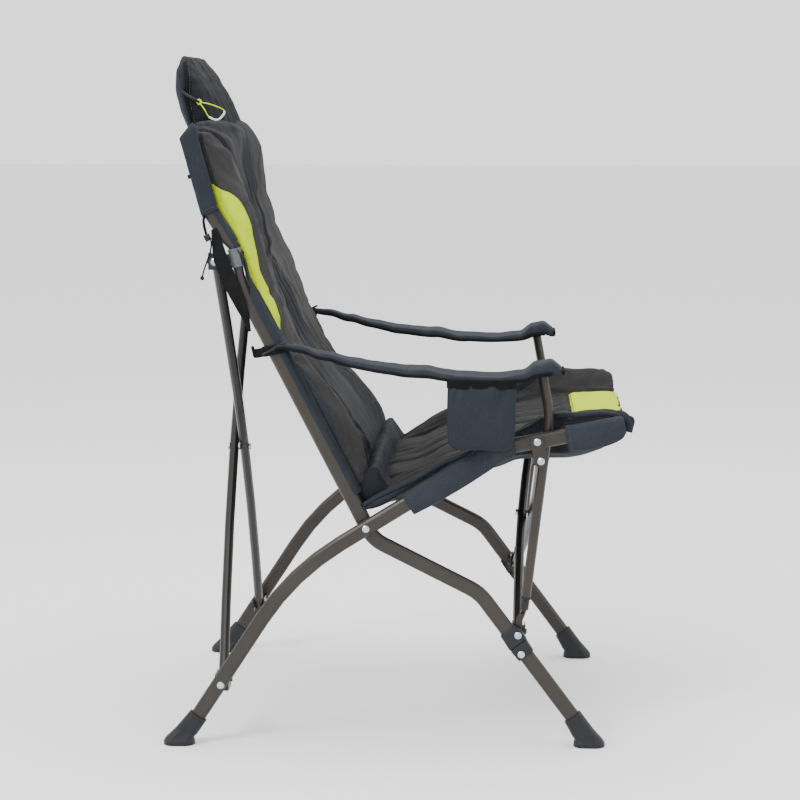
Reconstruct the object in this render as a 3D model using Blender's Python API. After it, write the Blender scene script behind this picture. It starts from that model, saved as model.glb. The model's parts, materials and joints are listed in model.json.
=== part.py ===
"""Folding camp chair with a high padded back, arm slings, a cup pocket and a crossed-tube frame.

The chair faces +X, its left side is +Y, and it stands on the plane Z = 0. Each side is a scissor:
a rail tube (rear leg and seat rail) and an upright tube (front leg and back upright) on one pivot.
A crossed pair of tubes joins the sides in front and another at the back, so the whole frame folds
together. Positions are (x, z) pairs in the side plane unless a name says otherwise.
"""
import math

import bmesh
import bpy
from mathutils import Matrix, Vector

# ---------------------------------------------------------------- driving dimensions, metres
GAP = 0.0003                      # between pieces that touch
RAIL_Y = 0.310                    # lateral place of the rail tubes
UPRIGHT_Y = 0.294                 # lateral place of the upright tubes
POST_Y = 0.2945                   # lateral place of the arm posts and their rods
TUBE_HIGH = 0.025                 # flat-oval tube, tall way and thin way
TUBE_WIDE = 0.014
ROUND_TUBE = 0.016                # cross tubes, necks and arm posts
WALL = 0.0013
PIN_RADIUS = 0.004
HEAD_RADIUS = 0.0065
HEAD_HIGH = 0.0028

PIVOT = (-0.0412, 0.3657)         # the scissor pivot of each side
FRONT_ARM = 0.306                 # pivot to either end of the front cross tubes
FRONT_LEG_ANGLE = math.radians(-35.6)
RAIL_ANGLE = math.radians(21.9)
REAR_LOW = (-0.2815, 0.1015)      # rear cross tube pin on the rail tube's leg
REAR_HIGH = (-0.2861, 0.7986)     # rear cross tube pin behind the back collar
FOLD = math.radians(78)           # turn of the upright tube from open to folded

RAIL_CORNERS = [(-0.3445, 0.010), (-0.1625, 0.290), (0.1725, 0.499), (0.3755, 0.538)]
RAIL_BENDS = [0.42, 0.10]
UPRIGHT_CORNERS = [(0.3255, 0.013), (0.144, 0.2564), (-0.0302, 0.3444), (-0.2325, 0.7385)]
UPRIGHT_BENDS = [0.075, 0.055]
NECK = [(-0.2385, 0.7535), (-0.2455, 0.775), (-0.2515, 0.8055)]
UPPER_BACK = [(-0.2518, 0.8065), (-0.2558, 0.8232), (-0.2660, 0.8390), (-0.2940, 0.8815), (-0.3235, 0.990)]
COLLAR_LONG = 0.030
COLLAR_RADIUS = 0.0105
REAR_SOLE_X = -0.3521
FRONT_SOLE_X = 0.3263
SOLE_LONG = 0.0515
SOLE_WIDE = 0.034

POST_TOP = (0.2448, 0.6155)
POST_STRAIGHT = 0.062             # straight length above the link pin, which the rod needs
STRUT_LONG = 0.2294               # from the link pin down to the tube's mouth
ROD_LONG = 0.355
ROD_RADIUS = 0.0043
STRUT_FORWARD = 0.005             # the strut slides on a line this far in front of its two pins
BUSH_FLOOR_Y = 0.3042             # the blind bush on the post, outside the rod's way, that holds the link pin
CROSS_BOW = 0.0092                # each cross tube bows this far so that two can cross
END_PAST_PIN = 0.0068


def polar(centre, radius, angle):
    return (centre[0] + radius * math.cos(angle), centre[1] + radius * math.sin(angle))


LINK = polar(PIVOT, FRONT_ARM, RAIL_ANGLE)
FRONT_LOW = polar(PIVOT, FRONT_ARM, FRONT_LEG_ANGLE)
RAIL_RIVET = (LINK[0] - 0.0065, LINK[1] + 0.0314)
LEG_RIVET = (0.2132, 0.1556)

# With equal arms and cross tubes twice as long as an arm, the front linkage closes at every angle.
FRONT_SPREAD = 2 * FRONT_ARM * math.cos((RAIL_ANGLE - FRONT_LEG_ANGLE) / 2)
FOLDED_SPREAD = 2 * FRONT_ARM * math.cos((RAIL_ANGLE - FRONT_LEG_ANGLE + FOLD) / 2)
NARROWING = FRONT_SPREAD - FOLDED_SPREAD


def turned_about(point, centre, angle):
    """A side-plane point after a turn about +Y by angle: +Z goes towards +X."""
    dx, dz = point[0] - centre[0], point[1] - centre[1]
    cos, sin = math.cos(angle), math.sin(angle)
    return (centre[0] + dx * cos + dz * sin, centre[1] - dx * sin + dz * cos)


def rear_spread():
    """Distance between the rear pins, right to left, at which the rear cross tubes fit open and folded."""
    folded_high = turned_about(REAR_HIGH, PIVOT, FOLD)
    open_square = math.dist(REAR_LOW, REAR_HIGH) ** 2
    folded_square = math.dist(REAR_LOW, folded_high) ** 2
    return (folded_square - open_square + NARROWING ** 2) / (2 * NARROWING)


REAR_SPREAD = rear_spread()

# ---------------------------------------------------------------- scene, materials, objects
COLOURS = {
    "frame_tube": ((0.075, 0.069, 0.062), 0.38, 0.75),
    "plastic": ((0.018, 0.021, 0.027), 0.48, 0.0),
    "rivet": ((0.62, 0.66, 0.68), 0.28, 1.0),
    "charcoal_fabric": ((0.055, 0.056, 0.062), 0.9, 0.0),
    "navy_fabric": ((0.044, 0.052, 0.066), 0.9, 0.0),
}


def clear_scene():
    for item in list(bpy.data.objects):
        bpy.data.objects.remove(item, do_unlink=True)


def make_material(name):
    colour, roughness, metallic = COLOURS[name]
    material = bpy.data.materials.new(name)
    material.use_nodes = True
    shader = material.node_tree.nodes["Principled BSDF"]
    shader.inputs["Base Color"].default_value = (*colour, 1.0)
    shader.inputs["Roughness"].default_value = roughness
    shader.inputs["Metallic"].default_value = metallic
    return material


def make_pivot(name, place, parent=None):
    """An empty on a joint's axis; the pieces that move on that joint are its children."""
    empty = bpy.data.objects.new(name, None)
    empty.empty_display_size = 0.03
    bpy.context.scene.collection.objects.link(empty)
    place = Vector(place)
    if parent:
        empty.parent = parent
        place = place - parent.matrix_world.translation
    empty.location = place
    bpy.context.view_layer.update()
    return empty


def finish_piece(name, bm, material, pivot, smooth=35):
    """Turns a closed bmesh in world coordinates into a named object on its pivot."""
    bmesh.ops.recalc_face_normals(bm, faces=bm.faces)
    mesh = bpy.data.meshes.new(name)
    bm.to_mesh(mesh)
    bm.free()
    piece = bpy.data.objects.new(name, mesh)
    bpy.context.scene.collection.objects.link(piece)
    mesh.materials.append(material)
    if pivot:
        mesh.transform(Matrix.Translation(-pivot.matrix_world.translation))
        piece.parent = pivot
    mesh.shade_smooth()
    mesh.set_sharp_from_angle(angle=math.radians(smooth))
    return piece


def combine(piece, other, operation):
    modifier = piece.modifiers.new(operation.lower(), "BOOLEAN")
    modifier.operation = operation
    modifier.solver = "EXACT"
    modifier.object = other
    other.hide_render = True
    other.display_type = "WIRE"


# ---------------------------------------------------------------- outlines and sweeps
def oval(high, wide, count=12):
    """A flat-oval outline whose flats and ends lie at the true size; a circle when high equals wide."""
    radius = wide / 2 / math.cos(math.pi / count)
    shift = max(high - wide, 0) / 2
    points = []
    for k in range(count):
        angle = (k + 0.5) * 2 * math.pi / count
        a = radius * math.cos(angle)
        points.append((a + math.copysign(shift, a), radius * math.sin(angle)))
    return points


def rounded_path(corners, bends, step=math.radians(7)):
    """The corners joined by straight runs, with an arc of each bend's radius at the inner corners."""
    path = [Vector(corners[0])]
    for before, corner, after, radius in zip(corners, corners[1:], corners[2:], bends):
        corner = Vector(corner)
        arrive = (corner - Vector(before)).normalized()
        leave = (Vector(after) - corner).normalized()
        turn = arrive.angle(leave)
        reach = radius * math.tan(turn / 2)
        start = corner - arrive * reach
        side = Vector((-arrive.y, arrive.x))
        if side.dot(leave) < 0:
            side = -side
        centre = start + side * radius
        count = max(2, math.ceil(turn / step))
        for k in range(count + 1):
            angle = turn * k / count
            path.append(centre - side * radius * math.cos(angle) + arrive * radius * math.sin(angle))
    path.append(Vector(corners[-1]))
    return path


def in_side_plane(points, y):
    return [Vector((p[0], y, p[1])) for p in points]


def ring_points(path, index, side, section, count):
    before, after = path[max(index - 1, 0)], path[min(index + 1, len(path) - 1)]
    tangent = (after - before).normalized()
    across = (side - tangent * side.dot(tangent)).normalized()
    up = tangent.cross(across)
    return [path[index] + up * a + across * b for a, b in oval(*section, count)]


def swept(path, sections, side=Vector((0, 1, 0)), wall=0.0, count=12):
    """A bar along path, or a tube open at both ends when wall is given. side is the thin direction."""
    if isinstance(sections, tuple):
        sections = [sections] * len(path)
    bm = bmesh.new()
    outer, inner = [], []
    for k, section in enumerate(sections):
        outer.append([bm.verts.new(p) for p in ring_points(path, k, side, section, count)])
        if wall:
            bore = (section[0] - 2 * wall, section[1] - 2 * wall)
            inner.append([bm.verts.new(p) for p in ring_points(path, k, side, bore, count)])
    for rings in (outer, inner):
        for low, high in zip(rings, rings[1:]):
            for k in range(count):
                j = (k + 1) % count
                bm.faces.new((low[k], low[j], high[j], high[k]))
    for end in (0, -1):
        if not wall:
            bm.faces.new(outer[end])
            continue
        for k in range(count):
            j = (k + 1) % count
            bm.faces.new((outer[end][k], outer[end][j], inner[end][j], inner[end][k]))
    return bm


def revolved(outline, start, axis, count=12):
    """Turns an outline of (distance along axis, radius) points about an axis.

    An outline that starts and ends at radius 0 makes a solid; any other closes on itself as a ring.
    """
    axis = Vector(axis).normalized()
    across = axis.orthogonal().normalized()
    third = axis.cross(across)
    bm = bmesh.new()
    rings = []
    for along, radius in outline:
        centre = Vector(start) + axis * along
        if radius == 0:
            rings.append([bm.verts.new(centre)])
            continue
        angles = [2 * math.pi * k / count for k in range(count)]
        rings.append([bm.verts.new(centre + (across * math.cos(a) + third * math.sin(a)) * radius) for a in angles])
    pairs = list(zip(rings, rings[1:]))
    if outline[0][1] > 0:
        pairs.append((rings[-1], rings[0]))
    for low, high in pairs:
        for k in range(count):
            j = (k + 1) % count
            if len(low) == 1:
                bm.faces.new((low[0], high[j], high[k]))
            elif len(high) == 1:
                bm.faces.new((low[k], low[j], high[0]))
            else:
                bm.faces.new((low[k], low[j], high[j], high[k]))
    return bm


def prism(outline, low, high):
    """An outline of world points, pushed from low to high (two offset vectors)."""
    bm = bmesh.new()
    first = [bm.verts.new(Vector(p) + low) for p in outline]
    second = [bm.verts.new(Vector(p) + high) for p in outline]
    bm.faces.new(first)
    bm.faces.new(second)
    for k in range(len(outline)):
        j = (k + 1) % len(outline)
        bm.faces.new((first[k], first[j], second[j], second[k]))
    return bm


def lofted(rings):
    """A solid through a list of rings that all have the same number of points."""
    bm = bmesh.new()
    made = [[bm.verts.new(p) for p in ring] for ring in rings]
    for low, high in zip(made, made[1:]):
        for k in range(len(low)):
            j = (k + 1) % len(low)
            bm.faces.new((low[k], low[j], high[j], high[k]))
    bm.faces.new(made[0])
    bm.faces.new(made[-1])
    return bm


def capsule(a, b, radius, count=7):
    """The outline of a rounded strip round two side-plane points."""
    direction = math.atan2(b[1] - a[1], b[0] - a[0])
    points = []
    for centre, start in ((b, direction - math.pi / 2), (a, direction + math.pi / 2)):
        for k in range(count):
            points.append(polar(centre, radius, start + math.pi * k / (count - 1)))
    return points


# ---------------------------------------------------------------- pins and holes
def drill(piece, place, axis, reach, radius=PIN_RADIUS + GAP):
    """Cuts a round hole through a piece, from place as far as reach both ways."""
    axis = Vector(axis).normalized()
    outline = [(0, 0), (0, radius), (2 * reach, radius), (2 * reach, 0)]
    bm = revolved(outline, Vector(place) - axis * reach, axis, 12)
    cutter = finish_piece(piece.name + "_hole", bm, piece.data.materials[0], None)
    combine(piece, cutter, "DIFFERENCE")


def make_pin(name, point, side, y_in, y_out, material, pivot, radius=PIN_RADIUS, inner_head=HEAD_HIGH):
    """A lateral rivet: its shank runs from y_in to y_out, with a domed head beyond each end."""
    outline = [(-inner_head, 0), (-inner_head, HEAD_RADIUS * 0.75), (-inner_head / 2, HEAD_RADIUS),
               (0, HEAD_RADIUS), (0, radius)]
    if not inner_head:
        outline = [(0, 0), (0, radius)]
    long = y_out - y_in
    outline += [(long, radius), (long, HEAD_RADIUS), (long + HEAD_HIGH * 0.5, HEAD_RADIUS * 0.92),
                (long + HEAD_HIGH, HEAD_RADIUS * 0.55), (long + HEAD_HIGH, 0)]
    start = Vector((point[0], side * y_in, point[1]))
    return finish_piece(name, revolved(outline, start, (0, side, 0)), material, pivot, 50)


def plane_frame(low, high):
    """The unit directions up a cross plane and out of it (forward), from its low and high side points."""
    up = Vector((high[0] - low[0], 0, high[1] - low[1])).normalized()
    return up, Vector((0, 1, 0)).cross(up)


def make_bracket(name, point, side, pin_y, web_out, up, out, material, pivot):
    """A channel that holds a cross tube's end: a web beside the leg, two flanges and a pin across them."""
    web, inner, half = 0.002, 0.0092, 0.0135
    mouth = pin_y - 0.0105
    centre = Vector((point[0], 0, point[1]))
    section = [(web_out, -inner - web), (web_out, inner + web), (mouth, inner + web), (mouth, inner),
               (web_out - web, inner), (web_out - web, -inner), (mouth, -inner), (mouth, -inner - web)]
    outline = [centre + Vector((0, side * y, 0)) + out * n for y, n in section]
    bracket = finish_piece(name, prism(outline, up * -half, up * half), material, pivot)
    drill(bracket, centre + Vector((0, side * web_out, 0)), (0, 1, 0), 0.006)
    reach = inner + web
    head = [(-0.0035, 0), (-0.0035, 0.0045), (0, 0.0055), (0.0006, 0.0055), (0.0006, 0.0025),
            (2 * reach - 0.0006, 0.0025), (2 * reach - 0.0006, 0.0055), (2 * reach, 0.0055),
            (2 * reach + 0.0035, 0.0045), (2 * reach + 0.0035, 0)]
    pin_start = centre + Vector((0, side * pin_y, 0)) - out * reach
    pin = finish_piece(name + "_pin", revolved(head, pin_start, out, 12), material, None)
    combine(bracket, pin, "UNION")
    return bracket


# ---------------------------------------------------------------- frame pieces of one side
def make_rail(prefix, side, mats, pivot):
    path = in_side_plane(rounded_path(RAIL_CORNERS, RAIL_BENDS), side * RAIL_Y)
    rail = finish_piece(prefix + "rail_tube", swept(path, (TUBE_HIGH, TUBE_WIDE), wall=WALL),
                        mats["frame_tube"], pivot)
    for point in (PIVOT, REAR_LOW, RAIL_RIVET):
        drill(rail, (point[0], side * RAIL_Y, point[1]), (0, 1, 0), TUBE_WIDE)
    outline = in_side_plane(capsule(LINK, RAIL_RIVET, 0.0112), 0)
    face = RAIL_Y + TUBE_WIDE / 2 + GAP
    plate = finish_piece(prefix + "link_plate",
                         prism(outline, Vector((0, side * face, 0)), Vector((0, side * (face + 0.0026), 0))),
                         mats["frame_tube"], pivot)
    for point in (LINK, RAIL_RIVET):
        drill(plate, (point[0], side * face, point[1]), (0, 1, 0), 0.01)
    make_pin(prefix + "rail_rivet", RAIL_RIVET, side, RAIL_Y - TUBE_WIDE / 2 - GAP, face + 0.0026 + GAP,
             mats["rivet"], pivot, inner_head=0)
    make_pin(prefix + "link_pin", LINK, side, BUSH_FLOOR_Y + GAP, face + 0.0026 + GAP, mats["rivet"], pivot,
             inner_head=0)
    make_pin(prefix + "rear_leg_pin", REAR_LOW, side, 0.2997, RAIL_Y + TUBE_WIDE / 2 + GAP,
             mats["rivet"], pivot, inner_head=0.0024)
    make_pin(prefix + "scissor_pin", PIVOT, side, UPRIGHT_Y - TUBE_WIDE / 2 - GAP,
             RAIL_Y + TUBE_WIDE / 2 + GAP, mats["rivet"], pivot)
    make_foot(prefix + "rear_foot", side, REAR_SOLE_X, RAIL_Y, RAIL_CORNERS, mats["plastic"], pivot)


def make_foot(name, side, sole_x, y, corners, material, pivot):
    """A boot: a flat sole, a waist and a collar that the tube's end stands in."""
    foot, above = Vector(corners[0]), Vector(corners[1])
    along = (above - foot).normalized()
    top = foot + along * 0.046
    collar = (TUBE_HIGH + 0.0064, TUBE_WIDE + 0.0056)
    path = in_side_plane([top - along * 0.001, top], side * y)
    tilt = Vector((0, 0, 1))
    lean = Vector((along.x, 0, along.y))

    def ring(centre, high, wide, normal):
        across = Vector((0, 1, 0))
        forward = across.cross(normal)
        return [centre + forward * a + across * b for a, b in oval(high, wide, 16)]

    sole = Vector((sole_x, side * y, 0))
    waist = sole.lerp(path[1], 0.38)
    middle = (tilt + lean).normalized()
    rings = [ring(sole, SOLE_LONG, SOLE_WIDE, tilt),
             ring(sole + tilt * 0.006, SOLE_LONG, SOLE_WIDE, tilt),
             ring(sole + tilt * 0.010 + (waist - sole) * 0.1, SOLE_LONG * 0.9, SOLE_WIDE * 0.86, tilt),
             ring(waist + tilt * 0.004, SOLE_LONG * 0.72, SOLE_WIDE * 0.68, middle),
             ring(path[1], collar[0], collar[1], lean)]
    boot = finish_piece(name, lofted(rings), material, pivot)
    socket_path = in_side_plane([foot - along * GAP, top + along * 0.02], side * y)
    fit = (TUBE_HIGH + 2 * GAP, TUBE_WIDE + 2 * GAP)
    cutter = finish_piece(name + "_socket", swept(socket_path, fit), material, None)
    combine(boot, cutter, "DIFFERENCE")


def make_upright(prefix, side, mats, pivot):
    lower = rounded_path(UPRIGHT_CORNERS, UPRIGHT_BENDS)
    path = in_side_plane(lower + [Vector(p) for p in NECK], side * UPRIGHT_Y)
    full, slim = (TUBE_HIGH, TUBE_WIDE), (ROUND_TUBE, ROUND_TUBE)
    sections = [full] * len(lower) + [slim] * len(NECK)
    upright = finish_piece(prefix + "upright_tube", swept(path, sections, wall=WALL),
                           mats["frame_tube"], pivot)
    for point in (PIVOT, FRONT_LOW, LEG_RIVET):
        drill(upright, (point[0], side * UPRIGHT_Y, point[1]), (0, 1, 0), TUBE_WIDE)
    upper = in_side_plane(UPPER_BACK, side * UPRIGHT_Y)
    finish_piece(prefix + "upper_back_tube", swept(upper, [slim, slim, full, full, full], wall=WALL),
                 mats["frame_tube"], pivot)
    make_foot(prefix + "front_foot", side, FRONT_SOLE_X, UPRIGHT_Y, UPRIGHT_CORNERS, mats["plastic"], pivot)
    make_collar(prefix, side, mats, pivot)
    make_leg_sleeves(prefix, side, mats, pivot)


def make_collar(prefix, side, mats, pivot):
    """The ring that joins the neck to the upper tube, with an ear behind it for the rear cross tubes."""
    centre = Vector((NECK[-1][0], side * UPRIGHT_Y, NECK[-1][1]))
    axis = Vector((UPPER_BACK[1][0] - NECK[-2][0], 0, UPPER_BACK[1][1] - NECK[-2][1])).normalized()
    bore, lip = 0.0087, COLLAR_RADIUS + 0.0008
    ring = [(0, bore), (0, lip), (0.003, lip), (0.003, COLLAR_RADIUS), (COLLAR_LONG - 0.003, COLLAR_RADIUS),
            (COLLAR_LONG - 0.003, lip), (COLLAR_LONG, lip), (COLLAR_LONG, bore)]
    collar = finish_piece(prefix + "back_collar", revolved(ring, centre - axis * COLLAR_LONG / 2, axis),
                          mats["plastic"], pivot)
    root = centre + Vector((-axis.z, 0, axis.x)) * (bore + 0.0009)
    ear = capsule((root.x, root.z), REAR_HIGH, 0.0082)
    ear = in_side_plane(ear[:8] + ear[-1:], 0)
    low, high = Vector((0, side * (UPRIGHT_Y - 0.0015), 0)), Vector((0, side * (UPRIGHT_Y + 0.0025), 0))
    combine(collar, finish_piece(prefix + "ear", prism(ear, low, high), mats["plastic"], None), "UNION")
    drill(collar, (REAR_HIGH[0], side * UPRIGHT_Y, REAR_HIGH[1]), (0, 1, 0), 0.01)
    make_pin(prefix + "collar_pin", REAR_HIGH, side, UPRIGHT_Y - 0.0015 - GAP, UPRIGHT_Y + 0.0025 + GAP,
             mats["rivet"], pivot, inner_head=0)


def make_leg_sleeves(prefix, side, mats, pivot):
    """The two-part moulded sleeve on the front leg, open on its inner face, and its two rivets."""
    low, high = Vector(UPRIGHT_CORNERS[0]), Vector(UPRIGHT_CORNERS[1])
    along = (high - low).normalized()
    across = Vector((-along.y, along.x))
    if across.x < 0:
        across = -across
    middle = low + along * (Vector(LEG_RIVET) - low).dot(along)
    y_in, y_out = UPRIGHT_Y - TUBE_WIDE / 2 + GAP, UPRIGHT_Y + TUBE_WIDE / 2 + 0.0026
    outlines = {
        "leg_sleeve_lower": [(-0.008, -0.0145), (-0.008, 0.0145), (0.0145, 0.0165), (0.0145, -0.0160)],
        "leg_sleeve_upper": [(0.0152, -0.0165), (0.0152, 0.0175), (0.030, 0.0185), (0.038, 0.0165),
                             (0.045, 0.0138), (0.045, -0.0142)],
    }
    for name, outline in outlines.items():
        points = in_side_plane([middle + along * a + across * b for a, b in outline], 0)
        bm = prism(points, Vector((0, side * y_in, 0)), Vector((0, side * y_out, 0)))
        bmesh.ops.bevel(bm, geom=bm.edges[:], offset=0.0012, segments=1, affect="EDGES")
        sleeve = finish_piece(prefix + name, bm, mats["plastic"], pivot)
        path = in_side_plane([middle - along * 0.03, middle + along * 0.07], side * UPRIGHT_Y)
        fit = (TUBE_HIGH + 2 * GAP, TUBE_WIDE + 2 * GAP)
        cutter = finish_piece(prefix + name + "_bore", swept(path, fit), mats["plastic"], None)
        combine(sleeve, cutter, "DIFFERENCE")
        point = LEG_RIVET if "lower" in name else FRONT_LOW
        drill(sleeve, (point[0], side * y_out, point[1]), (0, 1, 0), 0.025)
    make_pin(prefix + "leg_rivet", LEG_RIVET, side, UPRIGHT_Y - TUBE_WIDE / 2 - GAP, y_out + GAP,
             mats["rivet"], pivot, inner_head=0.0015)
    make_pin(prefix + "leg_pin", FRONT_LOW, side, 0.2812, y_out + GAP, mats["rivet"], pivot, inner_head=0.0015)


def make_arm_post(prefix, side, mats, pivot):
    """The tube that is the arm post above the rail and the strut below it, with its cap, guide and bracket."""
    up, out = plane_frame(FRONT_LOW, LINK)
    slope = Vector((up.x, up.z))
    middle = Vector(LINK) + Vector((out.x, out.z)) * STRUT_FORWARD
    mouth = middle - slope * STRUT_LONG
    corner = middle + slope * (POST_STRAIGHT + 0.012)
    bend = rounded_path([mouth, corner, POST_TOP], [0.12])
    path = in_side_plane([mouth, middle] + bend[1:], side * POST_Y)
    post = finish_piece(prefix + "arm_post", swept(path, (ROUND_TUBE, ROUND_TUBE), wall=WALL),
                        mats["frame_tube"], pivot)
    bush_in, bush_out = POST_Y + ROD_RADIUS + 0.0012, RAIL_Y + TUBE_WIDE / 2
    bush = [(0, 0), (0, 0.0078), (bush_out - bush_in, 0.0078), (bush_out - bush_in, PIN_RADIUS + GAP),
            (BUSH_FLOOR_Y - bush_in, PIN_RADIUS + GAP), (BUSH_FLOOR_Y - bush_in, 0)]
    bush_start = Vector((LINK[0], side * bush_in, LINK[1]))
    combine(post, finish_piece(prefix + "bush", revolved(bush, bush_start, (0, side, 0), 12),
                               mats["frame_tube"], None), "UNION")
    tip = (path[-1] - path[-2]).normalized()
    cap = [(-0.011, 0), (-0.011, 0.0060), (GAP, 0.0060), (GAP, 0.0092), (0.0030, 0.0092), (0.0040, 0.0080),
           (0.0040, 0)]
    finish_piece(prefix + "post_cap", revolved(cap, path[-1], tip, 12), mats["plastic"], pivot)
    start = Vector((mouth.x, side * POST_Y, mouth.y))
    bore = ROD_RADIUS + 0.0006
    guide = [(-0.014, bore), (-0.014, 0.0060), (GAP, 0.0060), (GAP, 0.0090), (0.004, 0.0090),
             (0.006, 0.0070), (0.022, 0.0070), (0.022, bore)]
    finish_piece(prefix + "strut_guide", revolved(guide, start, -up, 12), mats["plastic"], pivot)
    make_bracket(prefix + "front_high_bracket", LINK, side, FRONT_SPREAD / 2, 0.2857, up, out,
                 mats["frame_tube"], pivot)


def make_strut_rod(prefix, side, mats, pivot):
    """The rod that slides in the strut, flattened at its foot, and the channel on the same pin."""
    up, out = plane_frame(FRONT_LOW, LINK)
    foot = Vector((FRONT_LOW[0], 0, FRONT_LOW[1]))
    tang_y = 0.2852
    stations = [(-0.0075, 0, tang_y, (0.011, 0.0025)), (0.024, 0, tang_y, (0.011, 0.0025)),
                (0.034, 0.75, tang_y + 0.0007, (0.0090, 0.0045)),
                (0.042, 1, POST_Y, (2 * ROD_RADIUS, 2 * ROD_RADIUS)),
                (ROD_LONG, 1, POST_Y, (2 * ROD_RADIUS, 2 * ROD_RADIUS))]
    path = [foot + up * along + out * STRUT_FORWARD * share + Vector((0, side * y, 0))
            for along, share, y, _ in stations]
    sections = [section for _, _, _, section in stations]
    rod = finish_piece(prefix + "strut_rod", swept(path, sections, count=10), mats["frame_tube"], pivot)
    drill(rod, foot + Vector((0, side * tang_y, 0)), (0, 1, 0), 0.006)
    make_bracket(prefix + "front_low_bracket", FRONT_LOW, side, FRONT_SPREAD / 2, 0.2834, up, out,
                 mats["frame_tube"], pivot)


# ---------------------------------------------------------------- cross tubes
def make_cross_tube(name, low, high, spread, low_side, bow, mats, pivot):
    """One bowed tube from the low pin on low_side to the high pin on the other side."""
    up, out = plane_frame(low, high)
    start = Vector((low[0], low_side * spread / 2, low[1]))
    end = Vector((high[0], -low_side * spread / 2, high[1]))
    along = (end - start).normalized()
    extra = along * END_PAST_PIN
    count = 6
    path = []
    for k in range(count + 1):
        t = k / count
        path.append((start - extra).lerp(end + extra, t) + out * bow * math.sin(math.pi * t))
    tube = finish_piece(name, swept(path, (ROUND_TUBE, ROUND_TUBE), side=out, wall=WALL),
                        mats["frame_tube"], pivot)
    for pin in (start, end):
        drill(tube, pin, out, 0.014, 0.0029)
    drill(tube, (start + end) / 2, out, 0.03, 0.0033)


def make_centre_bolt(name, low, high, mats, pivot):
    up, out = plane_frame(low, high)
    centre = Vector(((low[0] + high[0]) / 2, 0, (low[1] + high[1]) / 2))
    half = CROSS_BOW + ROUND_TUBE / 2 + 0.0004
    long = 2 * half
    outline = [(-0.0035, 0), (-0.0035, 0.0050), (0, 0.0060), (0, 0.0030), (half - 0.0008, 0.0030),
               (half - 0.0008, 0.0070), (half + 0.0008, 0.0070), (half + 0.0008, 0.0030),
               (long, 0.0030), (long, 0.0055), (long + 0.0035, 0.0055), (long + 0.0035, 0)]
    finish_piece(name, revolved(outline, centre - out * half, out, 12), mats["rivet"], pivot)


# ---------------------------------------------------------------- soft solids
def make_seat(mats, pivot):
    """The seat pad, between the rails, from the crease at the back to the rolled front edge."""
    stations = [(-0.024, 0.404, 0.436), (0.030, 0.412, 0.464), (0.100, 0.442, 0.502), (0.175, 0.472, 0.533),
                (0.222, 0.500, 0.547), (0.280, 0.503, 0.558), (0.335, 0.500, 0.566), (0.370, 0.502, 0.562),
                (0.392, 0.515, 0.548)]
    rings = []
    for x, low, high in stations:
        half = 0.283
        sag = 0.012 * math.sin(math.pi * (x + 0.024) / 0.416)
        rings.append([Vector((x, -half, low + 0.008)), Vector((x, 0, low - sag)), Vector((x, half, low + 0.008)),
                      Vector((x, half, high - 0.006)), Vector((x, 0, high - sag)), Vector((x, -half, high - 0.006))])
    finish_piece("seat_pad", lofted(rings), mats["charcoal_fabric"], pivot)


def make_back(mats, pivot):
    """The back pad, between the uprights, from the crease up to the shoulders."""
    stations = [(-0.040, 0.440, 0.280, 0.022), (-0.096, 0.560, 0.280, 0.030), (-0.170, 0.690, 0.280, 0.030),
                (-0.226, 0.800, 0.280, 0.032), (-0.262, 0.900, 0.280, 0.032), (-0.296, 0.985, 0.268, 0.028),
                (-0.315, 1.030, 0.190, 0.020)]
    rings = []
    for x, z, half, thick in stations:
        rings.append([Vector((x - thick, -half, z - 0.010)), Vector((x + thick, -half, z + 0.010)),
                      Vector((x + thick * 0.8, 0, z + 0.008)), Vector((x + thick, half, z + 0.010)),
                      Vector((x - thick, half, z - 0.010)), Vector((x - thick * 1.1, 0, z - 0.010))])
    finish_piece("back_pad", lofted(rings), mats["charcoal_fabric"], pivot)
    pillow = [(-0.345, 1.034, 0.165, 0.034), (-0.355, 1.075, 0.165, 0.038), (-0.366, 1.110, 0.140, 0.028),
              (-0.371, 1.135, 0.100, 0.012)]
    rings = []
    for x, z, half, thick in pillow:
        rings.append([Vector((x - thick, -half * 0.8, z)), Vector((x - thick * 0.4, -half, z)),
                      Vector((x + thick, -half * 0.8, z)), Vector((x + thick, half * 0.8, z)),
                      Vector((x - thick * 0.4, half, z)), Vector((x - thick, half * 0.8, z))])
    finish_piece("head_pillow", lofted(rings), mats["charcoal_fabric"], pivot)


def make_arm(prefix, side, mats, pivot):
    """An arm sling from just ahead of the upright to over the post's cap."""
    stations = [(-0.168, 0.654, 0.286, 0.322), (-0.090, 0.640, 0.286, 0.334), (0.010, 0.6285, 0.268, 0.345),
                (0.110, 0.6240, 0.258, 0.345), (0.205, 0.6280, 0.258, 0.345), (0.268, 0.6300, 0.262, 0.340)]
    rings = []
    for x, z, inner, outer in stations:
        near, far = side * inner, side * outer
        rings.append([Vector((x, near, z - 0.005)), Vector((x, far, z - 0.005)),
                      Vector((x, far, z + 0.005)), Vector((x, near, z + 0.005))])
    finish_piece(prefix + "arm_sling", lofted(rings), mats["navy_fabric"], pivot)


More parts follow.
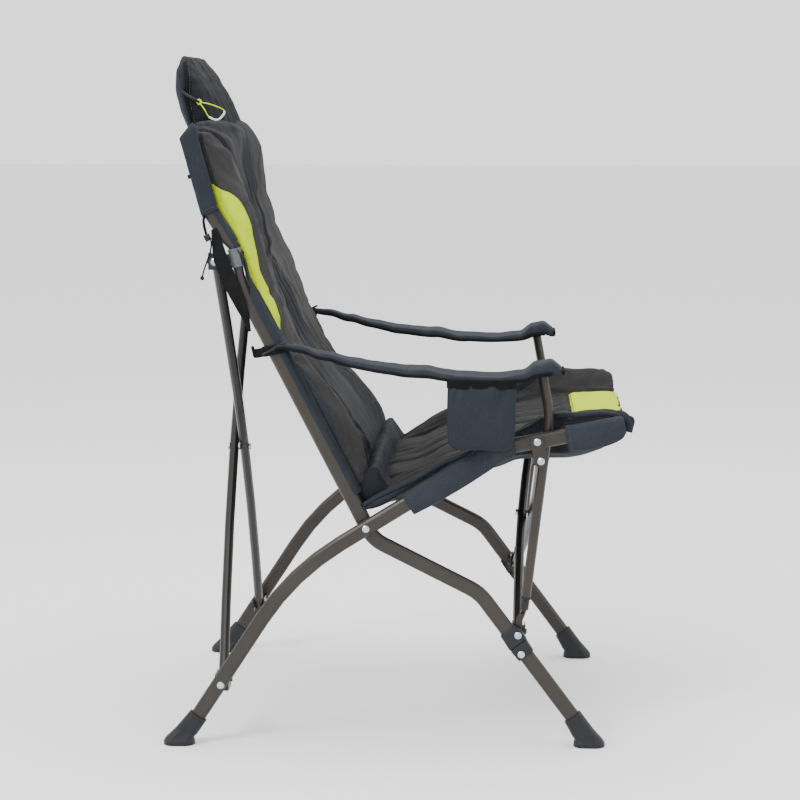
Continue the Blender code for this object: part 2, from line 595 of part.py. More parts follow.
def make_cup_pocket(mats, pivot):
    """The cup pocket that hangs outside the right arm: an open bag."""
    outer = [(0.090, 0.609), (0.200, 0.609), (0.199, 0.515), (0.190, 0.503), (0.165, 0.498),
             (0.125, 0.498), (0.104, 0.503), (0.095, 0.515)]
    inner = [(0.0925, 0.640), (0.1975, 0.640), (0.1965, 0.516), (0.189, 0.5055), (0.165, 0.5005),
             (0.125, 0.5005), (0.105, 0.5055), (0.0975, 0.516)]
    bm = prism(in_side_plane(outer, 0), Vector((0, -0.356, 0)), Vector((0, -0.3215, 0)))
    pocket = finish_piece("cup_pocket", bm, mats["navy_fabric"], pivot)
    bm = prism(in_side_plane(inner, 0), Vector((0, -0.3535, 0)), Vector((0, -0.324, 0)))
    combine(pocket, finish_piece("cup_pocket_inside", bm, mats["navy_fabric"], None), "DIFFERENCE")


# ---------------------------------------------------------------- assembly
def at(point, y=0.0):
    return (point[0], y, point[1])


def middle_of(low, high):
    return ((low[0] + high[0]) / 2, 0, (low[1] + high[1]) / 2)


def build():
    clear_scene()
    mats = {name: make_material(name) for name in COLOURS}
    half, rear_half = FRONT_SPREAD / 2, REAR_SPREAD / 2
    right_rail = make_pivot("right_rail_pivot", at(PIVOT, -RAIL_Y))
    right_upright = make_pivot("right_upright_pivot", at(PIVOT, -UPRIGHT_Y), right_rail)
    right_post = make_pivot("right_post_pivot", at(LINK, -POST_Y), right_rail)
    right_rod = make_pivot("right_rod_pivot", at(FRONT_LOW, -POST_Y), right_upright)
    falling = make_pivot("front_falling_pivot", at(LINK, -half), right_post)
    rising = make_pivot("front_rising_pivot", middle_of(FRONT_LOW, LINK), falling)
    left_rod = make_pivot("left_rod_pivot", at(FRONT_LOW, half), falling)
    left_upright = make_pivot("left_upright_pivot", at(FRONT_LOW, UPRIGHT_Y), left_rod)
    left_rail = make_pivot("left_rail_pivot", at(PIVOT, RAIL_Y), left_upright)
    left_post = make_pivot("left_post_pivot", at(LINK, POST_Y), left_rail)
    rear_swing = make_pivot("rear_swing_pivot", at(REAR_LOW, -RAIL_Y), right_rail)
    rear_rising = make_pivot("rear_rising_pivot", at(REAR_LOW, -rear_half), rear_swing)
    rear_falling = make_pivot("rear_falling_pivot", middle_of(REAR_LOW, REAR_HIGH), rear_rising)
    right_high = make_pivot("right_rear_high_pivot", at(REAR_HIGH, -rear_half), rear_falling)
    left_low = make_pivot("left_rear_low_pivot", at(REAR_LOW, rear_half), rear_falling)
    left_high = make_pivot("left_rear_high_pivot", at(REAR_HIGH, rear_half), rear_rising)

    sides = [("right_", -1, right_rail, right_upright, right_post, right_rod),
             ("left_", 1, left_rail, left_upright, left_post, left_rod)]
    for prefix, side, rail, upright, post, rod in sides:
        make_rail(prefix, side, mats, rail)
        make_upright(prefix, side, mats, upright)
        make_arm_post(prefix, side, mats, post)
        make_strut_rod(prefix, side, mats, rod)
        make_arm(prefix, side, mats, post)

    make_cross_tube("front_falling_tube", FRONT_LOW, LINK, FRONT_SPREAD, 1, CROSS_BOW, mats, falling)
    make_cross_tube("front_rising_tube", FRONT_LOW, LINK, FRONT_SPREAD, -1, -CROSS_BOW, mats, rising)
    make_centre_bolt("front_centre_bolt", FRONT_LOW, LINK, mats, falling)
    make_cross_tube("rear_rising_tube", REAR_LOW, REAR_HIGH, REAR_SPREAD, -1, -CROSS_BOW, mats, rear_rising)
    make_cross_tube("rear_falling_tube", REAR_LOW, REAR_HIGH, REAR_SPREAD, 1, CROSS_BOW, mats, rear_falling)
    make_centre_bolt("rear_centre_bolt", REAR_LOW, REAR_HIGH, mats, rear_rising)

    up, out = plane_frame(REAR_LOW, REAR_HIGH)
    low_web, high_web = RAIL_Y - TUBE_WIDE / 2 - 0.001, UPRIGHT_Y - 0.0015 - 0.0008
    for name, point, side, web, pivot in (("right_rear_low_bracket", REAR_LOW, -1, low_web, rear_swing),
                                          ("left_rear_low_bracket", REAR_LOW, 1, low_web, left_low),
                                          ("right_rear_high_bracket", REAR_HIGH, -1, high_web, right_high),
                                          ("left_rear_high_bracket", REAR_HIGH, 1, high_web, left_high)):
        make_bracket(name, point, side, rear_half, web, up, out, mats["frame_tube"], pivot)

    make_seat(mats, right_rail)
    make_back(mats, right_upright)
    make_cup_pocket(mats, right_post)


build()
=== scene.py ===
"""Folding camp chair: fabric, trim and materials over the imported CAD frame.

The chair faces +X, its left is +Y, it stands on Z = 0, and everything is in metres. A side line is a
list of (x, z) points in the side plane.
"""
import json
import math

import bmesh
import bpy
from mathutils import Matrix, Vector, noise
from mathutils.bvhtree import BVHTree


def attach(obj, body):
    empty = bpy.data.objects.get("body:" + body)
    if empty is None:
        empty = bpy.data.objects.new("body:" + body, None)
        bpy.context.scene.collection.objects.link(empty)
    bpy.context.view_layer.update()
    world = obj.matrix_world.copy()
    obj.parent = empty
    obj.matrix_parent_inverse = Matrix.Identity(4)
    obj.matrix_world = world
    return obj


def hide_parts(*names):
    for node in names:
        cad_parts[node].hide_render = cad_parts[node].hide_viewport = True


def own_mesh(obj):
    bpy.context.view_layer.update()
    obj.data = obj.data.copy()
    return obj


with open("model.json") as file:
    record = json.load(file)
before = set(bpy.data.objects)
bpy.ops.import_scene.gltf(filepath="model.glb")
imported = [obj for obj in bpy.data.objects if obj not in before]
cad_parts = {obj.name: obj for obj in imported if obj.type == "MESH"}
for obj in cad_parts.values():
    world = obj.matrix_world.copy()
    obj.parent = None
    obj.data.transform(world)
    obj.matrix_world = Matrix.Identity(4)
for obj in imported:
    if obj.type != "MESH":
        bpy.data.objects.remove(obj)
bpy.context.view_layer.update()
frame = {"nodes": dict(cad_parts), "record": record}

# ---------------------------------------------------------------- driving dimensions, metres
SIDES = {-1: "right", 1: "left"}
RAIL_Y = 0.310
UPRIGHT_Y = 0.294
UPRIGHT_LINE = [(-0.0302, 0.3444), (-0.2325, 0.7385), (-0.2455, 0.775), (-0.2530, 0.8055),
                (-0.2680, 0.839), (-0.2935, 0.880), (-0.3235, 0.990), (-0.3340, 1.024)]
RAIL_LINE = [(-0.1625, 0.290), (0.1725, 0.499), (0.3755, 0.538)]
BACK_LOW, BACK_HIGH = 0.404, 1.022        # heights of the back cushion's ends on the upright's line
BACK_HALF = 0.288
BACK_REAR = 0.0145                # the cushion's back face, in front of the upright's line
BACK_EDGE = 0.0060                # the same beside the uprights, where it reaches between them
BACK_DEPTH = [(0.404, 0.040), (0.455, 0.047), (0.52, 0.044), (0.58, 0.034), (0.65, 0.026), (0.72, 0.031),
              (0.775, 0.034), (0.82, 0.032), (0.85, 0.040), (0.89, 0.047), (0.935, 0.046), (0.97, 0.046),
              (1.0, 0.040), (1.022, 0.026)]
LEFT_SLACK = [(0.470, 0.0), (0.53, 0.005), (0.57, 0.012), (0.61, 0.015), (0.66, 0.010), (0.72, 0.006), (0.76, 0.006),
              (0.80, 0.015), (0.835, 0.016), (0.87, 0.013), (0.90, 0.006), (0.95, 0.003), (1.02, 0.002)]
PANEL_HALF = [(0.404, 0.27), (0.47, 0.235), (0.52, 0.20), (0.60, 0.13), (0.70, 0.075), (0.775, 0.035),
              (0.80, 0.035), (0.86, 0.105), (0.92, 0.175), (0.97, 0.235), (1.022, 0.29)]
LIME_EDGE = [(0.672, 0.006), (0.680, 0.018), (0.690, 0.027), (0.700, 0.0315), (0.714, 0.0335), (0.733, 0.0346),
             (0.742, 0.0338), (0.751, 0.0318), (0.768, 0.0282), (0.775, 0.0274), (0.788, 0.0308), (0.800, 0.0330),
             (0.812, 0.0352), (0.822, 0.0376), (0.833, 0.0400), (0.849, 0.0430), (0.860, 0.0440), (0.870, 0.0436),
             (0.880, 0.0405), (0.889, 0.0350), (0.897, 0.0290), (0.905, 0.0205), (0.912, 0.0135), (0.924, 0.0030),
             (0.930, -0.0030)]
LIME_LOW = [(0.70, 0.0130), (0.738, 0.0125), (0.752, 0.0095), (0.765, 0.0065), (0.790, 0.0030), (0.93, 0.0030)]
BAND_FRONT = [(0.415, 0.0200), (0.720, 0.0200), (0.750, 0.0165), (0.775, 0.0145), (0.885, 0.0145)]
EDGE_RISE = [(0.670, 0.0), (0.70, 0.006), (0.77, 0.005), (0.80, 0.006), (0.83, 0.011), (0.87, 0.013),
             (0.90, 0.007), (0.93, 0.0)]
BAND_REAR = [(0.415, 0.0070), (0.74, 0.0045), (0.762, 0.0125), (0.795, 0.0150), (0.812, 0.0110), (0.830, 0.0050),
             (0.885, 0.0045)]
SEAT_EDGE = [(-0.050, 0.406), (-0.018, 0.4258), (0.0354, 0.4493), (0.0792, 0.4743), (0.1358, 0.4977),
             (0.2019, 0.5208), (0.2356, 0.5385), (0.2724, 0.5537), (0.3365, 0.5619), (0.3650, 0.5617)]
SEAT_HALF = 0.302
SEAT_NOSE = 0.348                 # where the seat starts to roll down at the front
GUSSET_HALF = 0.2865
PILLOW_HALF = 0.160
CLOTH_FRAMES = 20
CLOTH_THICK = 0.0012
BACK_SAG = 0.019                  # how far the middle of the back's rear face hangs behind its edges
BACK_THIN = 0.0065                # least thickness of the back cushion
PUFF = 0.004                      # what the air adds to a cushion's face
STITCH_STEP = 0.0062
STITCH_LIFT = 0.0002              # how far thread stands off the cloth
LIME_FOOT, LIME_HEAD = 0.672, 0.930
BAND_FOOT, BAND_TALL = 0.415, 0.470
SLEEVE_FOOT, SLEEVE_HEAD = 0.8765, 1.004
PHOTO_PIXELS = 800
FOCAL_PIXELS = 2215
HORIZON_PIXELS = 306              # how far the horizon lies above the middle of the photo


# ---------------------------------------------------------------- small maths
def along(table, value):
    """Smooth value of a table of (place, value) pairs."""
    if value <= table[0][0]:
        return table[0][1]
    for (a, low), (b, high) in zip(table, table[1:]):
        if value <= b:
            t = (value - a) / (b - a)
            return low + (high - low) * t * t * (3 - 2 * t)
    return table[-1][1]


def straight(table, value):
    """Linear value of a table of (place, value) pairs, carried on past its ends."""
    pairs = list(zip(table, table[1:]))
    (a, low), (b, high) = next((p for p in pairs if value <= p[1][0]), pairs[-1])
    return low + (high - low) * (value - a) / (b - a)


def smooth(edge_low, edge_high, value):
    t = min(max((value - edge_low) / (edge_high - edge_low), 0), 1)
    return t * t * (3 - 2 * t)


def lumps(a, b, c):
    """Smooth noise from -1 to 1 at three numbers."""
    return noise.noise(Vector((a, b, c)))


def bent(value, power):
    """value to a power, with its sign kept: it squares off a circle."""
    return math.copysign(abs(value) ** power, value)


def upright_at(z):
    """Side-plane point of the upright's line at a height, and the direction square to it, forward."""
    x = straight([(p[1], p[0]) for p in UPRIGHT_LINE], z)
    above = straight([(p[1], p[0]) for p in UPRIGHT_LINE], z + 0.03)
    below = straight([(p[1], p[0]) for p in UPRIGHT_LINE], z - 0.03)
    tangent = Vector((above - below, 0, 0.06)).normalized()
    return Vector((x, 0, z)), Vector((tangent.z, 0, -tangent.x))


def rail_at(x):
    z = straight(RAIL_LINE, x)
    tangent = Vector((0.04, 0, straight(RAIL_LINE, x + 0.02) - straight(RAIL_LINE, x - 0.02))).normalized()
    return Vector((x, 0, z)), Vector((-tangent.z, 0, tangent.x))


def spline(points, count):
    """Evenly stepped points on a smooth curve through the given points."""
    pts = [Vector(p) for p in points]
    ends = [pts[0] * 2 - pts[1]] + pts + [pts[-1] * 2 - pts[-2]]
    out = []
    for k in range(count + 1):
        place = k / count * (len(pts) - 1)
        i = min(int(place), len(pts) - 2)
        t = place - i
        a, b, c, d = ends[i:i + 4]
        out.append(0.5 * (2 * b + (c - a) * t + (2 * a - 5 * b + 4 * c - d) * t ** 2
                          + (3 * b - a - 3 * c + d) * t ** 3))
    return out


# ---------------------------------------------------------------- materials
class Nodes:
    """Short calls for building a node tree."""

    def __init__(self, name):
        self.material = bpy.data.materials.new(name)
        self.material.use_nodes = True
        self.tree = self.material.node_tree
        self.shader = self.tree.nodes["Principled BSDF"]
        self.base, self.rough = self.shader.inputs["Base Color"], self.shader.inputs["Roughness"]
        self.place = self.add("ShaderNodeTexCoord").outputs["Object"]

    def add(self, kind, **settings):
        node = self.tree.nodes.new(kind)
        for key, value in settings.items():
            setattr(node, key, value)
        return node

    def link(self, source, target):
        self.tree.links.new(source, target)

    def fill(self, socket, value):
        if isinstance(value, bpy.types.NodeSocket):
            self.link(value, socket)
        else:
            socket.default_value = value

    def math(self, operation, a, b=0.0, c=0.0):
        node = self.add("ShaderNodeMath", operation=operation)
        for socket, value in zip(node.inputs, (a, b, c)):
            self.fill(socket, value)
        return node.outputs[0]

    def noise(self, scale, detail=3.0, rough=0.55, stretch=(1, 1, 1)):
        mapping = self.add("ShaderNodeMapping")
        mapping.inputs["Scale"].default_value = stretch
        self.link(self.place, mapping.inputs["Vector"])
        node = self.add("ShaderNodeTexNoise")
        node.inputs["Scale"].default_value = scale
        node.inputs["Detail"].default_value = detail
        node.inputs["Roughness"].default_value = rough
        self.link(mapping.outputs[0], node.inputs["Vector"])
        return node.outputs["Fac"]

    def thread(self, direction, period):
        """Rows of threads along one direction, from 0 to 1."""
        dot = self.add("ShaderNodeVectorMath", operation="DOT_PRODUCT")
        self.link(self.place, dot.inputs[0])
        dot.inputs[1].default_value = direction
        turned = self.math("MULTIPLY", dot.outputs["Value"], 2 * math.pi / period)
        return self.math("MULTIPLY_ADD", self.math("SINE", turned), 0.5, 0.5)

    def remap(self, value, low, high, to_low, to_high):
        node = self.add("ShaderNodeMapRange", clamp=True)
        self.link(value, node.inputs["Value"])
        for name, number in (("From Min", low), ("From Max", high), ("To Min", to_low), ("To Max", to_high)):
            node.inputs[name].default_value = number
        return node.outputs["Result"]

    def mix(self, factor, a, b, blend="MIX"):
        node = self.add("ShaderNodeMix", data_type="RGBA", blend_type=blend)
        self.fill(node.inputs["Factor"], factor)
        colours = [s for s in node.inputs if s.type == "RGBA"]
        for socket, value in zip(colours, (a, b)):
            self.fill(socket, (*value, 1) if isinstance(value, tuple) else value)
        return next(s for s in node.outputs if s.type == "RGBA")

    def attribute(self, name):
        return self.add("ShaderNodeAttribute", attribute_name=name).outputs["Fac"]

    def bumps(self, *layers):
        """Stacks bumps, each a (height, strength, distance) in metres, and puts them on the shader."""
        last = None
        for height, strength, distance in layers:
            node = self.add("ShaderNodeBump")
            node.inputs["Strength"].default_value = strength
            node.inputs["Distance"].default_value = distance
            self.link(height, node.inputs["Height"])
            if last:
                self.link(last, node.inputs["Normal"])
            last = node.outputs["Normal"]
        self.link(last, self.shader.inputs["Normal"])

    def settings(self, **values):
        for name, value in values.items():
            self.shader.inputs[name.replace("_", " ").title().replace("Ior", "IOR")].default_value = value


def shade(colour, factor):
    return tuple(c * factor for c in colour)


def fabric(name, colour, weave=0.0011, crumple=0.5, sheen=0.006, zones=()):
    """Woven polyester. zones are (attribute, colour): the colour shows where the attribute is above 0."""
    n = Nodes(name)
    weft = n.thread((0.71, 0.0, 0.71), weave)
    warp = n.thread((-0.71, 0.0, 0.71), weave)
    across = n.thread((0.0, 1.0, 0.0), weave)
    cloth = n.math("MULTIPLY", n.math("ADD", n.math("ADD", weft, warp), across), 0.333)
    fine = n.noise(420, 2)
    patchy = n.noise(7, 4)
    level = n.math("MULTIPLY_ADD", fine, 0.5, n.math("MULTIPLY", patchy, 0.7))
    rubbed = n.remap(n.noise(30, 5, 0.65, (1, 1, 0.4)), 0.56, 0.74, 0, 0.35)

    def dyed(tint, low, high, worn):
        tone = n.mix(n.remap(level, 0.35, 0.85, 0, 1), shade(tint, low), shade(tint, high))
        return n.mix(rubbed, tone, shade(tint, worn))

    tone = dyed(colour, 0.72, 1.30, 2.1)
    for attribute, zone in zones:
        tinted = dyed(zone, 0.90, 1.06, 1.05) if max(zone) > 0.1 else dyed(zone, 0.75, 1.25, 1.8)
        tone = n.mix(n.remap(n.attribute(attribute), -0.0006, 0.0006, 0, 1), tone, tinted)
    # painted shade: the cloth's colour darkens by up to 22 % where the thread relief is low, in the gaps between
    # threads
    painted_gap_shade = n.remap(cloth, 0.25, 0.75, 0.22, 0.0)
    n.link(n.mix(painted_gap_shade, tone, (0.45, 0.45, 0.45), "MULTIPLY"), n.base)
    n.link(n.remap(patchy, 0.3, 0.7, 0.66, 0.80), n.rough)
    n.settings(sheen_weight=sheen, sheen_roughness=0.5, specular_ior_level=0.10)
    layers = [(n.noise(11, 4, 0.6, (1, 1, 0.55)), 0.55 * crumple, 0.010),
              (n.noise(46, 4, 0.6), 0.45 * crumple, 0.0022), (cloth, 0.5, 0.00025), (fine, 0.35, 0.0002)]
    for attribute, _ in zones:
        seam = n.remap(n.math("ABSOLUTE", n.attribute(attribute)), 0.0, 0.0028, 0, 1)
        layers.append((seam, 0.8, 0.0016))
    n.bumps(*layers)
    return n.material


def webbing(name, colour, period=0.0024):
    """Coarse woven tape."""
    n = Nodes(name)
    rows = n.math("MULTIPLY", n.thread((0.0, 0.6, 0.8), period), n.thread((0.8, -0.6, 0.3), period))
    worn = n.noise(60, 4)
    n.link(n.mix(n.remap(worn, 0.4, 0.7, 0, 1), shade(colour, 0.8), shade(colour, 1.35)),
           n.base)
    n.settings(roughness=0.85, sheen_weight=0.01, specular_ior_level=0.12)
    n.bumps((rows, 0.8, 0.0006), (n.noise(300, 2), 0.4, 0.0003))
    return n.material


def powder_coat(name, colour):
    """Satin metallic coat with a fine grain, faint streaks and small wear."""
    n = Nodes(name)
    grain = n.noise(1500, 2)
    cloud = n.noise(14, 4)
    tone = n.mix(n.remap(cloud, 0.3, 0.7, 0, 1), shade(colour, 0.86), shade(colour, 1.16))
    scuff = n.remap(n.noise(55, 6, 0.7), 0.66, 0.74, 0, 0.30)
    n.link(n.mix(scuff, tone, shade(colour, 1.9)), n.base)
    n.link(n.remap(n.noise(90, 3), 0.3, 0.7, 0.30, 0.42), n.rough)
    n.settings(metallic=0.35, specular_ior_level=0.38, coat_weight=0.05, coat_roughness=0.25)
    n.bumps((grain, 0.12, 0.0002), (n.noise(9, 2), 0.08, 0.001))
    return n.material


def moulded(name, colour, rough=0.45):
    n = Nodes(name)
    tone = n.mix(n.noise(25, 4), shade(colour, 0.8), shade(colour, 1.3))
    n.link(tone, n.base)
    n.link(n.remap(n.noise(60, 3), 0.3, 0.7, rough - 0.07, rough + 0.1), n.rough)
    n.settings(specular_ior_level=0.30)
    n.bumps((n.noise(900, 2), 0.15, 0.0002))
    return n.material


def zinc(name):
    n = Nodes(name)
    n.link(n.mix(n.noise(160, 4), (0.30, 0.35, 0.39), (0.58, 0.63, 0.67)), n.base)
    n.link(n.remap(n.noise(220, 3), 0.3, 0.7, 0.18, 0.34), n.rough)
    n.settings(metallic=1.0)
    n.bumps((n.noise(500, 2), 0.15, 0.0002))
    return n.material


def clear_tube(name):
    n = Nodes(name)
    n.link(n.mix(n.noise(80, 2), (0.74, 0.78, 0.78), (0.86, 0.89, 0.89)), n.base)
    n.settings(roughness=0.18, transmission_weight=0.35, specular_ior_level=0.6)
    return n.material


CHARCOAL = (0.0130, 0.0142, 0.0175)
WARM = (0.0285, 0.0272, 0.0272)
NAVY = (0.0165, 0.0200, 0.0262)
BLACK = (0.0035, 0.0037, 0.0043)
LIME = (0.44, 0.56, 0.002)

MATERIALS = {
    "charcoal": fabric("charcoal_cloth", WARM, crumple=0.7,
                       zones=(("panel", CHARCOAL), ("gusset", shade(NAVY, 1.25)), ("lime", LIME))),
    "seat": fabric("seat_cloth", shade(WARM, 0.50), crumple=0.8,
                   zones=(("lime", LIME), ("slot", shade(BLACK, 1.6)), ("edge", NAVY))),
    # navy cloth, darkened to 0.62 as painted shade for the deep corner between the seat and the back
    "crease": fabric("gusset_cloth_painted_shade", shade(NAVY, 0.62), crumple=1.0),
    "navy": fabric("navy_cloth", NAVY, crumple=0.75),
    "smooth_navy": fabric("sleeve_cloth", shade(NAVY, 1.3), crumple=0.45),
    "binding": webbing("binding_tape", BLACK, 0.0018),
    "strap": webbing("strap_tape", shade(BLACK, 1.3)),
    "thread": webbing("grey_thread", (0.07, 0.073, 0.08), 0.0006),
    "lime_cord": webbing("lime_cord", shade(LIME, 1.05), 0.0012),
    "frame_tube": powder_coat("frame_coat", (0.027, 0.0235, 0.0200)),
    "dark_tube": powder_coat("cross_tube_coat", (0.017, 0.016, 0.015)),
    "plastic": moulded("moulded_nylon", (0.0065, 0.0075, 0.0095)),
    "zip": moulded("zip_nylon", (0.0020, 0.0020, 0.0024), 0.6),
    "collar": powder_coat("collar_steel", (0.085, 0.095, 0.105)),
    "rivet": zinc("zinc_plate"),
    "clear": clear_tube("clear_sleeve"),
}


# ---------------------------------------------------------------- mesh helpers
def piece(name, bm, material, body=None, smooth_faces=True):
    bmesh.ops.recalc_face_normals(bm, faces=bm.faces)
    mesh = bpy.data.meshes.new(name)
    bm.to_mesh(mesh)
    bm.free()
    mesh.materials.append(MATERIALS[material])
    for face in mesh.polygons:
        face.use_smooth = smooth_faces
    obj = bpy.data.objects.new(name, mesh)
    bpy.context.scene.collection.objects.link(obj)
    if body:
        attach(obj, body)
    return obj


def skin(rings, closed=True, caps=True):
    """A surface through rings with equal counts of points. Closed rings make a tube, capped at its ends."""
    bm = bmesh.new()
    made = [[bm.verts.new(p) for p in ring] for ring in rings]
    count = len(made[0])
    for low, high in zip(made, made[1:]):
        for k in range(count if closed else count - 1):
            j = (k + 1) % count
            bm.faces.new((low[k], low[j], high[j], high[k]))
    if closed and caps:
        for ring in (made[0], made[-1]):
            centre = bm.verts.new(sum((v.co for v in ring), Vector()) / count)
            for k in range(count):
                bm.faces.new((ring[k], ring[(k + 1) % count], centre))
    return bm


def close_ring(bm, first, count):
    """Fan of faces over one ring of a skin, from its first vertex on."""
    bm.verts.ensure_lookup_table()
    ring = [bm.verts[first + k] for k in range(count)]
    centre = bm.verts.new(sum((v.co for v in ring), Vector()) / count)
    for k in range(count):
        bm.faces.new((ring[k], ring[(k + 1) % count], centre))


def rounded(width, thick, corner, steps=3):
    """Points (across, up) of a rounded rectangle."""
    points = []
    for sign_a, sign_b, start in ((1, 1, 0), (-1, 1, 1), (-1, -1, 2), (1, -1, 3)):
        for k in range(steps + 1):
            angle = (start + k / steps) * math.pi / 2
            points.append((sign_a * (width / 2 - corner) + corner * math.cos(angle),
                           sign_b * (thick / 2 - corner) + corner * math.sin(angle)))
    return points


def sweep(path, section, across=None, scale=None):
    """Rings of a section carried along a path. across keeps the section's first way near one direction."""
    rings = []
    last = None
    for k, point in enumerate(path):
        tangent = (path[min(k + 1, len(path) - 1)] - path[max(k - 1, 0)]).normalized()
        guide = Vector(across) if across else (last or tangent.orthogonal())
        side = (guide - tangent * guide.dot(tangent)).normalized()
        last = side
        up = tangent.cross(side)
        grow = scale(k / (len(path) - 1)) if scale else 1
        rings.append([point + side * (a * grow) + up * (b * grow) for a, b in section])
    return rings


def ribbon(name, points, width, thick, material, body, across=(0, 1, 0), count=None):
    path = spline(points, count or 8 * (len(points) - 1))
    section = rounded(width, thick, min(width, thick) * 0.45)
    return piece(name, skin(sweep(path, section, across)), material, body)


def round_cord(name, points, radius, material, body, count=None):
    path = spline(points, count or 8 * (len(points) - 1))
    section = [(radius * math.cos(a * math.pi / 4), radius * math.sin(a * math.pi / 4)) for a in range(8)]
    return piece(name, skin(sweep(path, section)), material, body)


def stitches(name, points, body, step=0.0048, dense=40):
    """A row of short raised threads along a line."""
    long, radius = 0.66 * step, 0.00045
    path = spline(points, dense * (len(points) - 1))
    bm = bmesh.new()
    travelled, wanted = 0.0, step
    for a, b in zip(path, path[1:]):
        travelled += (b - a).length
        if travelled < wanted:
            continue
        wanted += step
        way = (b - a).normalized()
        turn = way.to_track_quat("Z", "Y").to_matrix().to_4x4()
        bmesh.ops.create_cone(bm, cap_ends=True, segments=5, radius1=radius, radius2=radius, depth=long,
                              matrix=Matrix.Translation(b) @ turn)
    return piece(name, bm, "thread", body)


def set_attribute(obj, name, values):
    layer = obj.data.attributes.new(name, "FLOAT", "POINT")
    layer.data.foreach_set("value", values)


def subdivide(obj, levels=1):
    modifier = obj.modifiers.new("smooth", "SUBSURF")
    modifier.levels = modifier.render_levels = levels


def thicken(obj, offset, thickness=CLOTH_THICK):
    """Gives thin cloth its thickness. offset is 1 for outward, -1 for inward and 0 for both ways."""
    solid = obj.modifiers.new("cloth", "SOLIDIFY")
    solid.thickness = thickness
    solid.offset = offset


# ---------------------------------------------------------------- padding
def positions(mesh):
    values = [0.0] * (3 * len(mesh.vertices))
    mesh.vertices.foreach_get("co", values)
    return [Vector(values[k:k + 3]) for k in range(0, len(values), 3)]


def remeshed(obj, voxel):
    """Gives the object an even mesh of about the voxel's size."""
    modifier = obj.modifiers.new("even", "REMESH")
    modifier.mode = "VOXEL"
    modifier.voxel_size = voxel
    shaped = obj.evaluated_get(bpy.context.evaluated_depsgraph_get())
    mesh = bpy.data.meshes.new_from_object(shaped)
    obj.modifiers.clear()
    material = obj.data.materials[0]
    obj.data = mesh
    mesh.materials.clear()
    mesh.materials.append(material)
    for face in mesh.polygons:
        face.use_smooth = True


def puffed(obj, held, voxel=0.006, pressure=4.0, cap=0.008):
    """Fills a cover with air in a short cloth run. Points where held(place) is true stay where they are
    sewn, and cap is how far any other may move."""
    remeshed(obj, voxel)
    rest = positions(obj.data)
    sewn = obj.vertex_groups.new(name="sewn")
    sewn.add([k for k, place in enumerate(rest) if held(place)], 1.0, "REPLACE")
    cloth = obj.modifiers.new("air", "CLOTH")
    cloth.settings.quality = 3
    cloth.settings.mass = 0.3
    cloth.settings.tension_stiffness = cloth.settings.compression_stiffness = 15
    cloth.settings.bending_stiffness = 0.4
    cloth.settings.use_pressure = True
    cloth.settings.uniform_pressure_force = pressure
    cloth.settings.vertex_group_mass = "sewn"
    cloth.settings.effector_weights.gravity = 0
    cloth.collision_settings.use_collision = False
    scene = bpy.context.scene
    for number in range(1, CLOTH_FRAMES + 1):
        scene.frame_set(number)
    shaped = obj.evaluated_get(bpy.context.evaluated_depsgraph_get())
    moved = positions(shaped.data)
    obj.modifiers.clear()
    scene.frame_set(1)
    flat = []
    for start, end in zip(rest, moved):
        way = end - start
        if way.length > cap:
            way *= cap / way.length
        flat.extend(start + way)
    obj.data.vertices.foreach_set("co", flat)
    obj.data.update()


def sculpt(obj, rule):
    """Moves every vertex by rule(place, normal)."""
    normals = [v.normal.copy() for v in obj.data.vertices]
    flat = []
    for place, normal in zip(positions(obj.data), normals):
        flat.extend(place + rule(place, normal))
    obj.data.vertices.foreach_set("co", flat)
    obj.data.update()


def crease(distance, depth, width):
    """Profile of a sewn or folded crease: a sharp valley between two soft lips."""
    d = abs(distance) / width
    return -depth * math.exp(-d * d) + 0.45 * depth * math.exp(-((d - 2.0) / 1.1) ** 2)


def creases(place, lines):
    """Sum of crease heights at a flat place. A line is (start, end, depth, width) and fades to its end."""
    total = 0.0
    a, b = place
    for (a0, b0), (a1, b1), depth, width in lines:
        da, db = a1 - a0, b1 - b0
        length = math.hypot(da, db)
        t = ((a - a0) * da + (b - b0) * db) / length ** 2
        if -0.05 < t < 1:
            away = ((a - a0) * db - (b - b0) * da) / length
            if abs(away) < 4 * width:
                fade = (1 - t) ** 0.7 * smooth(-0.05, 0.03, t)
                total += crease(away, depth, width * (1 + 0.8 * t)) * fade
    return total


def mirrored(lines, flip=(-1, 1)):
    """The crease lines and their copies, with each place turned over by flip."""
    p, q = flip
    return lines + [((p * a0, q * b0), (p * a1, q * b1), depth, width) for (a0, b0), (a1, b1), depth, width in lines]


class Surface:
    """Finds points on a finished piece, so that thread and tape can lie on it."""

    def __init__(self, obj):
        shaped = obj.evaluated_get(bpy.context.evaluated_depsgraph_get())
        mesh = shaped.to_mesh()
        self.tree = BVHTree.FromPolygons([v.co.copy() for v in mesh.vertices],
                                         [tuple(p.vertices) for p in mesh.polygons])
        shaped.to_mesh_clear()

    def drop(self, start, way, stand=0.0):
        """The first point met from start along way, or None. stand lifts it off the surface."""
        way = Vector(way).normalized()
        hit = self.tree.ray_cast(Vector(start), way, 0.5)[0]
        return None if hit is None else hit - way * stand

    def row(self, starts, way, stand=0.0):
        return [p for p in (self.drop(start, way, stand) for start in starts) if p is not None]


# ---------------------------------------------------------------- camera, floor and light
def make_camera():
    """The photo's camera: focal length and tilt in pixels of the 800-pixel photo, seen from the chair's right."""
    data = bpy.data.cameras.new("camera")
    data.sensor_width = 36
    data.lens = data.sensor_width * FOCAL_PIXELS / PHOTO_PIXELS
    data.dof.use_dof = False
    camera = bpy.data.objects.new("camera", data)
    camera.location = (0.1727, -3.853, 1.067)
    pitch, yaw = math.atan(HORIZON_PIXELS / FOCAL_PIXELS), math.radians(2.56)
    camera.rotation_euler = (math.pi / 2 - pitch, 0, yaw)
    bpy.context.scene.collection.objects.link(camera)
    bpy.context.scene.camera = camera


